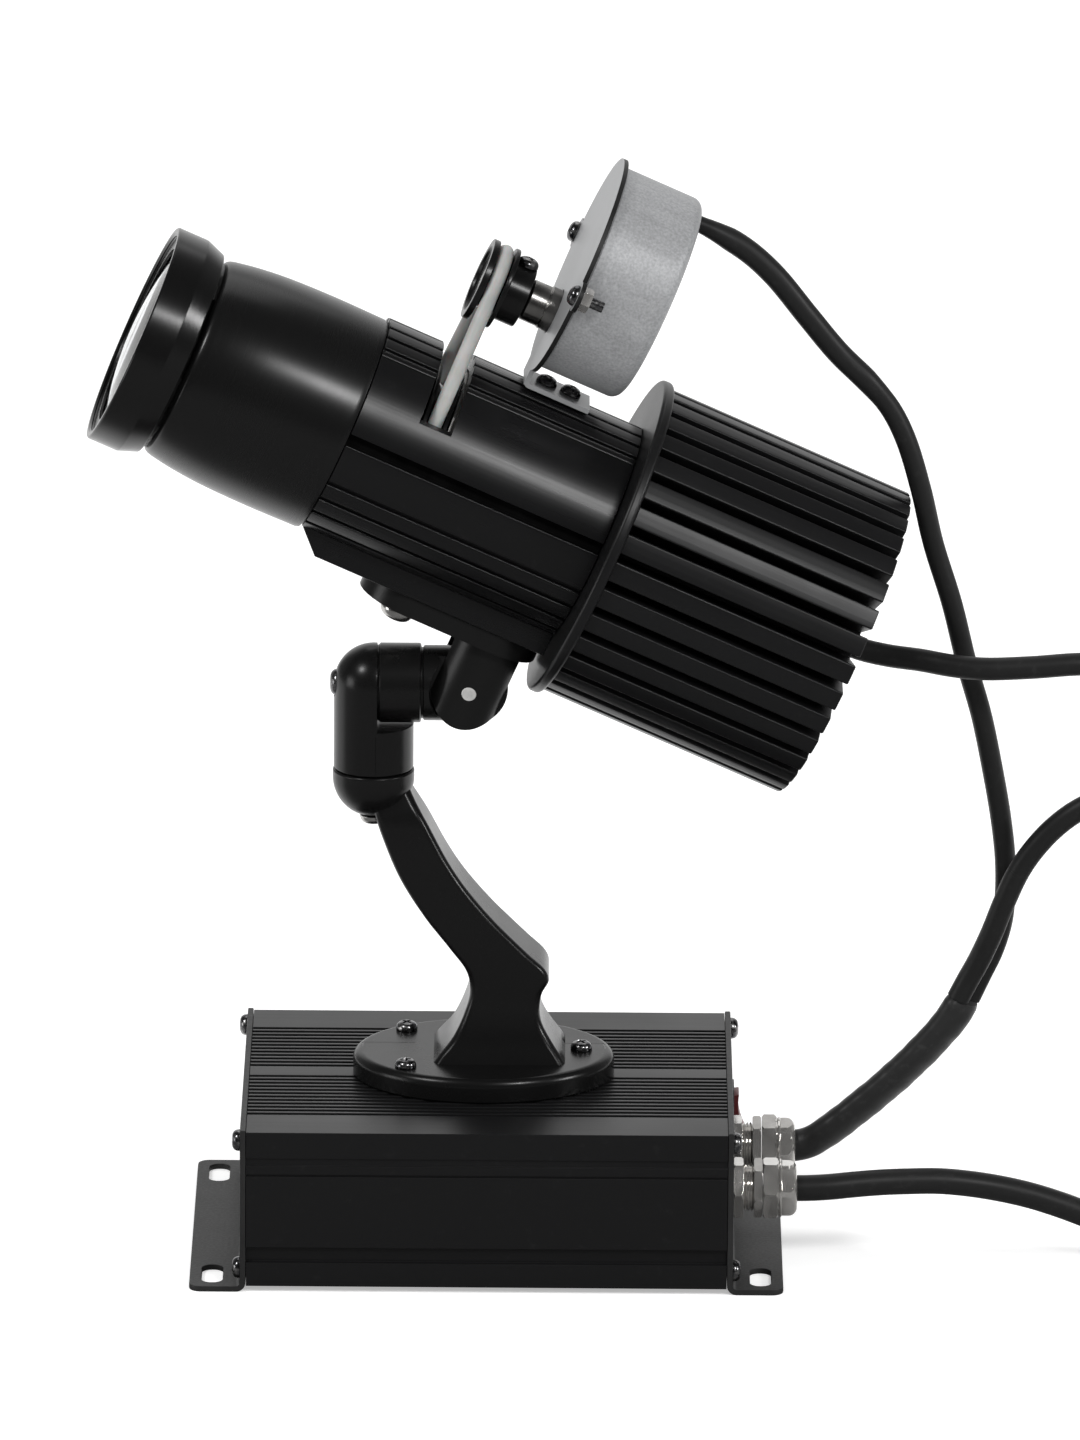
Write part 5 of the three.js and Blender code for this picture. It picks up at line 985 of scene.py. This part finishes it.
pin = lathe("hinge_pin", hinge_profile, 48, 1, (pin_station, 0, -pin_drop))
pin_steel = Paint("turned_pin", metallic=0.4)
pin_steel.tint(pin_steel.noise(500, 4), (0.5, 0.5, 0.49), (0.68, 0.675, 0.66))
pin_steel.put("Roughness", pin_steel.noise(800, 2) * 0.2 + 0.25)
on_head(pin, "bright_steel", pin_steel, "tilt_pin")

# Barrel. A ribbed extrusion, anodised black: narrow grooves at the crown and low on both sides, one
# wide slot along each side, a flat rail below with a chamfered front end, and a sawn slot for the belt.
barrel_radius, barrel_bore, crown_radius, barrel_length = 28.7, 25.6, 29.6, 70.2
rail_half, rail_z, rail_chamfer = 13.5, -31.4, 4.5
crown_angle, wide_slot = 60, 8.7
barrel_notches = [(angle, 1.3, 1.1) for angle in (-52, -39.5, -28, -17, 62, 72, 82.5)]
barrel_notches.insert(4, (wide_slot, 3.12, 2.5))
belt_slot, belt_floor, slot_reach = (14.9, 23.6), 14.8, 3.3


def barrel_outline():
    """Outline in (y, z): from the rail round one side to the crown with its notches, then mirrored."""
    points = [(rail_half, rail_z)]
    angle = -math.acos(rail_half / barrel_radius)

    def walk(start, end):
        for a in np.linspace(start, end, max(2, int(abs(end - start) * 36))):
            radius = crown_radius if a > math.radians(crown_angle) else barrel_radius
            points.append((radius * math.cos(a), radius * math.sin(a)))

    for degrees, wide, deep in barrel_notches:
        middle, reach = math.radians(degrees), wide / 2 / barrel_radius
        walk(angle, middle - reach)
        floor = (crown_radius if degrees > crown_angle else barrel_radius) - deep
        corners = (middle - reach, middle + reach)
        points.extend((floor * math.cos(a), floor * math.sin(a)) for a in corners)
        angle = middle + reach
    walk(angle, math.pi / 2)
    return points + [(-y, z) for y, z in reversed(points[:-1])]


def face_middles(piece):
    """Middles of a piece's faces in millimetres: x, y and z."""
    middles = np.empty(len(piece.data.polygons) * 3)
    piece.data.polygons.foreach_get("center", middles)
    return middles.reshape(-1, 3).T * 1000


def repaint_faces(piece, paint, chosen):
    """Second material on the chosen faces of a piece."""
    piece.data.materials.append(paint.material)
    piece.data.polygons.foreach_set("material_index", chosen.astype(np.int32))


barrel = shell("ribbed_barrel", *prism(eased(barrel_outline(), 0.25, 2), 0, barrel_length))
diamond = np.array([(-1, 0), (0, 1), (1, 0), (0, -1)]) * rail_chamfer * math.sqrt(2)
carve(barrel, bar("bore", barrel_bore, -5, 80),
      shell("chamfer", *prism(diamond + (0, rail_z), -40, 40, axis=1)),
      brick("belt_slot", *belt_slot, -40, 40, belt_floor, 40))
edged(barrel, 0.3, segments=2, angle=50)
barrel_paint = anodised("barrel_anodising", 0.0045, 0.27, math.radians(head_tilt))
_, across, high = face_middles(barrel)
off_axis = np.hypot(across, high)
in_slot = np.abs(np.degrees(np.arctan2(high, np.abs(across))) - wide_slot) < slot_reach
in_slot &= (off_axis < barrel_radius - 0.6) & (off_axis > barrel_bore + 0.3)
on_head(barrel, "black_anodised", barrel_paint, "barrel")
# Faces inside the two wide slots get a near-black, barely reflective material: painted shade for the deep
# slots.
slot_shade = Paint("painted_slot_shade", specular_ior_level=0.05, roughness=0.8)
slot_shade.tint(slot_shade.noise(200, 3), 0.001, 0.003)
repaint_faces(barrel, slot_shade, in_slot)

# Heat sink. A second extrusion behind the barrel: a core with 34 fins that widen towards the rim,
# and a turned flange in front. The light's lead comes out of its middle.
sink_start, sink_length, flange_radius, flange_thick = 70.5, 69.7, 43.1, 3
fin_count, fin_radius, core_radius, fin_width, fin_root, sink_bore = 34, 41.7, 25, 5.3, 2.2, 4.2


def fin_outline():
    """Outline of the fins in (y, z): a root, an arc across the tip and a root for each fin."""
    points = []
    root, tip = fin_root / 2 / core_radius, fin_width / 2 / fin_radius
    for middle in (np.arange(fin_count) + 0.5) * 2 * math.pi / fin_count:
        polar = [(core_radius, -root), *[(fin_radius, t) for t in np.linspace(-tip, tip, 4)],
                 (core_radius, root)]
        points += [(r * math.cos(middle + t), r * math.sin(middle + t)) for r, t in polar]
    return points


sink = shell("finned_sink", *prism(eased(fin_outline(), 0.45, 3), sink_start + 1, sink_start + sink_length))
rim = [(0, sink_start), (flange_radius - 0.6, sink_start), (flange_radius, sink_start + 0.6),
       (flange_radius, sink_start + flange_thick - 0.6), (flange_radius - 0.6, sink_start + flange_thick),
       (0, sink_start + flange_thick)]
carve(sink, lathe("rim", eased(rim, 0.4, 3, closed=False), 180), mode="UNION")
carve(sink, bar("bore", sink_bore, 60, 150))
edged(sink, 0.22, segments=1, angle=50)
sink_paint = anodised("sink_anodising", 0.0055, 0.34, math.radians(head_tilt))
on_head(sink, "black_anodised", sink_paint, "heat_sink")

# Lens tube. Turned aluminium with a gentle belly, anodised black. Its shoulder ends 0.3 mm
# before the barrel, and the narrower spigot behind it goes into the bore.
tube_front, tube_back, tube_radius, tube_swell, tube_bore = -44.3, -0.3, 25.7, 3.0, 22.6
shoulder, spigot_radius, spigot_bore, spigot_end = 28.5, 25.3, 22.9, 11
swell_shares = [(0, 0), (0.03, 0.28), (0.1, 0.5), (0.2, 0.72), (0.37, 0.95), (0.66, 1.06), (1, 1)]
belly = curved([(tube_radius + tube_swell * swell, tube_front + (tube_back - tube_front) * station)
                for station, swell in swell_shares], 0.8)
tube_profile = [
    (tube_bore, spigot_end - 2), (tube_bore, tube_front), (tube_radius - 0.4, tube_front), *belly[1:-1],
    (shoulder, tube_back), (spigot_radius, tube_back), (spigot_radius, spigot_end), (spigot_bore, spigot_end)]


def ring(name, profile, sides, ease=0, steps=2, height=0, crease=32):
    """Closed ring about an axis along x at a height, from a profile whose corners are eased."""
    points = eased(profile, ease, steps) if ease else np.array(profile)
    return lathe(name, [*points, points[0]], sides, 0, (0, 0, height), crease=crease, flats=True)


lens_tube = ring("belly_tube", tube_profile, 180)


def spun(name, tone, gloss):
    """Turned and anodised: fine tool rings about the optical axis and a satin gloss."""
    paint = Paint(name, specular_ior_level=0.3)
    rings = paint.noise(1, 3, 0.6, paint.grain((2600, 30, 30), math.radians(head_tilt)))
    cloud = paint.noise(32, 4)
    mark = paint.ramp(paint.noise(350, 6, 0.7), (0.62, 0), (0.76, 1))
    paint.put("Base Color", paint.blend(mark * 0.4 * cloud, (tone,) * 3, (tone * 4,) * 3))
    paint.put("Roughness", cloud * 0.08 + rings * 0.05 + (gloss - 0.07))
    return paint.bump(rings, 0.05, 0.02)


tube_paint = spun("tube_anodising", 0.0045, 0.27)
on_head(lens_tube, "black_anodised", tube_paint, "lens_tube")

# Focusing hood. A turned ring screwed over the lens cell, with a straight band, a cone behind it and
# fine baffle threads inside. The objective sits in the cell behind a thin retaining ring.
hood_start, hood_end, hood_radius, hood_straight, hood_back = -58.7, -45.2, 29.2, 8.3, 27.4
hood_inner, hood_step, hood_bore, baffle_count, baffle_deep, baffle_pitch = 27.2, -51.8, 22.6, 18, 0.22, 0.35
baffles = [(hood_inner - baffle_deep * (index % 2), hood_start + 0.8 + index * baffle_pitch)
           for index in reversed(range(baffle_count))]
hood_profile = [
    (hood_inner - 0.2, hood_start + 0.5), (hood_inner + 0.5, hood_start),
    (hood_radius - 0.35, hood_start), (hood_radius, hood_start + 0.35),
    (hood_radius, hood_start + hood_straight), (hood_back, hood_end - 0.3),
    (hood_back - 0.4, hood_end), (hood_bore, hood_end), (hood_bore, hood_step), (hood_inner, hood_step),
    *baffles]
hood = ring("focusing_hood", hood_profile, 200, 0.12, crease=22)
hood_paint = spun("hood_anodising", 0.0045, 0.22)
on_head(hood, "black_anodised", hood_paint, "hood_ring", body="hood")
glass = Paint("coated_glass", transmission_weight=1, ior=1.52)
smear = glass.noise(55, 4)
glass.put("Roughness", smear * 0.03 + 0.01)
glass.tint(smear, (0.93, 0.97, 0.98), (0.97, 0.98, 1), 0.2, 0.8)
lens_radius, lens_flat, lens_edge, lens_rise = 25.2, -54.4, 1.4, 3.4
sphere = (lens_radius ** 2 + lens_rise ** 2) / (2 * lens_rise)
out = np.linspace(lens_radius, 0, 40)
dome = lens_flat - lens_edge - (np.sqrt(sphere ** 2 - out ** 2) - (sphere - lens_rise))
lens_profile = [(0, lens_flat), (lens_radius - 0.2, lens_flat), (lens_radius, lens_flat - 0.2),
                *zip(out, dome)]
objective = lathe("objective", lens_profile, 160)
on_head(objective, "lens_glass", glass, "objective_lens", body="lens_group")
retainer_inner, retainer_outer, retainer_start, retainer_end = 23.6, 26.9, -57.58, -56.78
retainer = ring("front_retainer", [
    (retainer_inner, retainer_start), (retainer_outer, retainer_start),
    (retainer_outer, retainer_end), (retainer_inner, retainer_end)], 160, 0.15)
on_head(retainer, "black_anodised", hood_paint, "lens_retainer", body="lens_group")

# Inside the lens tube and the barrel. The cell, the condenser, the gobo with its bush and the light
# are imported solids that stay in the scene, and get new materials only.
repaint(hood_paint, "lens_cell", "condenser_holder")
repaint(glass, "rear_lens", "condenser_lens_front", "condenser_lens_rear", "gobo_disc")
repaint(bright_steel, "gobo_retainer", "gobo_bush")
core = Paint("led_core_board", metallic=0.6, roughness=0.4)
core.tint(core.noise(200, 3), 0.6, 0.7)
repaint(core, "led_board")
phosphor = Paint("phosphor", roughness=0.5)
phosphor.tint(phosphor.noise(900, 3), (0.7, 0.5, 0.06), (0.8, 0.6, 0.1))
repaint(phosphor, "led_emitter")

# Belt drive. A round polyurethane belt runs from a small flanged pulley on the motor's shaft, down
# through the barrel's slot and round the sheave that carries the gobo.
belt_at, belt_radius, small_belt, large_belt, motor_axis = 19.25, 1.9, 8.8, 21.6, 49.5


def groove_profile(rim, centre):
    """Round bottomed groove for the belt, between two corners on a rim."""
    wall = belt_radius + 0.3
    bottom = [(centre - wall * math.cos(a), belt_at + wall * math.sin(a))
              for a in np.linspace(-1.57, 1.57, 13)]
    return [(rim, belt_at - wall), *bottom, (rim, belt_at + wall)]


sheave_start, sheave_end, sheave_radius, collar_end, collar_radius = 15.95, 22.55, 24, 29.55, 20
gobo_seat, seat_radius, gobo_bore = 21.15, 17.3, 15.4
sheave_profile = [
    (seat_radius, sheave_start), (sheave_radius, sheave_start), *groove_profile(sheave_radius, large_belt),
    (sheave_radius, sheave_end), (collar_radius, sheave_end), (collar_radius, collar_end),
    (gobo_bore, collar_end), (gobo_bore, gobo_seat), (seat_radius, gobo_seat)]
sheave = ring("gobo_sheave", sheave_profile, 160, 0.2, crease=40)
on_head(sheave, "black_anodised", hood_paint, "gobo_ring", body="gobo_carrier")
lean = math.asin((large_belt - small_belt) / motor_axis)
wraps = [(small_belt, motor_axis, np.linspace(lean, math.pi - lean, 40)),
         (large_belt, 0, np.linspace(math.pi - lean, 2 * math.pi + lean, 90))]
loop = np.array([(radius * math.cos(a), height + radius * math.sin(a))
                 for radius, height, way in wraps for a in way])
spaced = np.concatenate([loop, loop[:1]])
travel = np.concatenate([[0], np.cumsum(np.linalg.norm(np.diff(spaced, axis=0), axis=1))])
at_even = np.linspace(0, travel[-1], 360, endpoint=False)
loop = np.stack([np.interp(at_even, travel, spaced[:, i]) for i in (0, 1)], axis=1)
ahead = np.roll(loop, -1, axis=0) - np.roll(loop, 1, axis=0)
outward = np.stack([ahead[:, 1], -ahead[:, 0]], axis=1) / np.linalg.norm(ahead, axis=1)[:, None]
around = np.linspace(0, 2 * np.pi, 24, endpoint=False)
flat = loop[:, None] + outward[:, None] * (belt_radius * np.cos(around))[None, :, None]
sideways = np.broadcast_to(belt_at + belt_radius * np.sin(around), (len(loop), len(around)))
belt_grid = np.concatenate([sideways[..., None], flat], axis=2)
belt = shell("round_belt", lattice(np.concatenate([belt_grid, belt_grid[:1]])))
urethane = Paint("clear_urethane", transmission_weight=0.12, subsurface_weight=0.3, subsurface_scale=0.004)
milky = urethane.noise(160, 4)
urethane.tint(milky, (0.36, 0.37, 0.36), (0.45, 0.46, 0.45))
urethane.put("Roughness", milky * 0.2 + 0.32)
on_head(belt, "belt_rubber", urethane, "drive_belt")

pulley_start, pulley_end, pulley_rim, pulley_bore = 15.35, 22.65, 10.8, 3.5
hub_end, hub_radius, grub_at, grub_hole = 28.35, 8, 25.5, 1.8
shaft_start, shaft_end, shaft_radius, shaft_edge = 16.35, 37.9, 3.2, 0.5
pulley_profile = [
    (pulley_bore, pulley_start + 1.6), (5.2, pulley_start + 1.2), (6.2, pulley_start + 1.2),
    (hub_radius + 0.4, pulley_start + 0.9), (hub_radius + 0.9, pulley_start),
    (pulley_rim, pulley_start), *groove_profile(pulley_rim, small_belt), (pulley_rim, pulley_end),
    (hub_radius, pulley_end), (hub_radius, hub_end), (pulley_bore, hub_end)]
pulley = ring("flanged_pulley", pulley_profile, 128, 0.25, 3, motor_axis, 40)
carve(pulley, bar("hole", grub_hole, motor_axis, motor_axis + 10, 2, (grub_at, 0, 0), 40))
smooth(pulley, 40, flats=True)
pulley_paint = satin("pulley_black", 0.006, 0.24, peel=0.1)
on_head(pulley, "black_plastic", pulley_paint, "drive_pulley", body="motor_drive")
grub_place = at(grub_at, 0, motor_axis + hub_radius + 0.1, (15, "Z"))
grub = shell("hub_screw", pan_screw(4.5, shank=1.5), place=grub_place)
on_head(grub, "dark_steel", dark_steel, "pulley_set_screw", body="motor_drive")
shaft_profile = [
    (0, shaft_start), (shaft_radius - shaft_edge, shaft_start), (shaft_radius, shaft_start + shaft_edge),
    (shaft_radius, shaft_end), (0, shaft_end)]
shaft = lathe("drive_shaft", shaft_profile, 64, 0, (0, 0, motor_axis), flats=True)
on_head(shaft, "bright_steel", bright_steel, "motor_shaft", body="motor_drive")
burnished = Paint("burnished_steel", metallic=1)
burnished.tint(burnished.noise(200, 3), (0.17, 0.165, 0.16), (0.25, 0.245, 0.235))
burnished.put("Roughness", burnished.noise(500, 2) * 0.1 + 0.2)
boss_start, boss_radius, boss_step, boss_foot = 28.65, 5.45, 33.7, 5.75
boss_profile = [
    (pulley_bore, boss_start), (boss_radius - 0.55, boss_start), (boss_radius, boss_start + 0.55),
    (boss_radius, boss_step), (boss_foot, boss_step + 0.3), (boss_foot, shaft_end), (pulley_bore, shaft_end)]
boss = ring("output_boss", boss_profile, 96, 0.15, height=motor_axis)
on_head(boss, "bright_steel", burnished, "gearbox_boss")

# Motor. A flat synchronous motor in a drawn zinc plated can, screwed by two ears to a round plate
# that is bent below into a foot; two screws hold the foot on the barrel's crown.
plate_at, plate_end, plate_disc, motor_z, ear_y, ear_tip = 36.7, 37.9, 29.35, 63.1, 31, 4
foot_low, foot_high, foot_far, foot_half = 29.9, 31.1, 54.9, 6.75
tab_bend, boss_hole, middle = 1.4, 6.05, (0, 0, motor_z)
bracket = bar("bent_bracket", plate_disc, plate_at, plate_end, 0, middle, 160)
foot_profile = [
    (plate_at, foot_low + tab_bend), *arc(plate_at + tab_bend, foot_low + tab_bend, tab_bend, 180, 270, 6),
    (foot_far, foot_low), (foot_far, foot_high), (plate_at + 1.6, foot_high),
    (plate_end, foot_high + 0.4), (plate_end, foot_high + 2), (plate_at, foot_high + 2)]
tab_top = motor_z - plate_disc + foot_half
carve(bracket,
      *[bar("ear", ear_tip, plate_at, plate_end, 0, (0, side * ear_y, motor_z), 48) for side in (-1, 1)],
      brick("tab", plate_at, plate_end, -foot_half, foot_half, foot_low + 0.5, tab_top),
      shell("foot", *prism(foot_profile, -foot_half, foot_half, axis=1)), mode="UNION")
carve(bracket, bar("hole", boss_hole, 30, 42, 0, (0, 0, motor_axis), 64))
edged(bracket, 0.15, segments=2)
station, across, high = face_middles(bracket)
on_edge = np.hypot(across, high - motor_z) > plate_disc - 0.08
on_edge &= (np.abs(station - (plate_at + plate_end) / 2) < 0.45) & (high > 35)
plated = Paint("plated_sheet", metallic=0.35)
bloom = plated.noise(90, 5, 0.6)
plated.tint(bloom, (0.33, 0.334, 0.34), (0.41, 0.415, 0.42))
plated.put("Roughness", bloom * 0.2 + 0.3)
plated.bump(plated.noise(1400, 2), 0.15, 0.02)
on_head(bracket, "plated_bracket", plated, "motor_bracket")
# The upper rim faces of the plate get a near-black material: painted shade for the gap between the plate and
# the can.
rim_shade = Paint("painted_rim_shade", specular_ior_level=0.3, roughness=0.5)
rim_shade.tint(rim_shade.noise(300, 3), 0.004, 0.012)
repaint_faces(bracket, rim_shade, on_edge)

can_start, can_end, can_radius, can_round = 38.2, 60.2, 27.5, 3
can_profile = [
    (0, can_start), (can_radius - 0.2, can_start), (can_radius, can_start + 0.3),
    (can_radius, can_end - can_round),
    *arc(can_radius - can_round, can_end - can_round, can_round, 0, 90, 12),
    (4.2, can_end), (3.6, can_end - 0.5), (0, can_end - 0.5)]
can = lathe("motor_shell", can_profile, 200, 0, middle)
lead_hole, lead_z = 3.1, 85.6
carve(can, bar("hole", lead_hole, can_end - 10, can_end + 10, 0, (0, 0, lead_z), 48))
smooth(can, 32, flats=True)
zinc = Paint("zinc_plate", metallic=0.25, specular_ior_level=0.5)
spangle = zinc.noise(75, 6, 0.65)
fleck = zinc.noise(1500, 2)
streak = zinc.noise(1, 3, 0.6, zinc.grain((30, 500, 500), math.radians(head_tilt)))
zinc.tint(spangle * 0.2 + streak * 0.2 + fleck * 0.6, (0.22, 0.223, 0.228), (0.37, 0.375, 0.383))
zinc.put("Roughness", spangle * 0.2 + 0.4)
zinc.bump(zinc.noise(900, 3), 0.25, 0.03)
on_head(can, "zinc_steel", zinc, "motor_can")

foot_screw, foot_holes = pan_screw(5.2), (42.7, 49.3)
for index, station in enumerate(foot_holes):
    place = at(station, 0, foot_high + 0.1, (30 + 25 * index, "Z"))
    piece = shell(f"crown_screw_{index + 1}", foot_screw, place=place)
    on_head(piece, "dark_steel", dark_steel, f"motor_foot_screw_{index + 1}")
ear_screw, ear_flats = pan_screw(7.4), 5.5
for index, side in enumerate((-1, 1)):
    nut = hex_piece(f"ear_nut_{index + 1}", ear_flats, plate_end + 0.1, plate_end + 2.5, 0.5, 10)
    nut.data.transform(Matrix.Translation((0, side * ear_y / 1000, motor_z / 1000)))
    on_head(nut, "nickel", nickel)
    place = at(plate_at - 0.1, side * ear_y, motor_z, (-90, "Y"))
    piece = shell(f"ear_bolt_{index + 1}", ear_screw, place=place)
    on_head(piece, "dark_steel", dark_steel, f"motor_ear_bolt_{index + 1}")
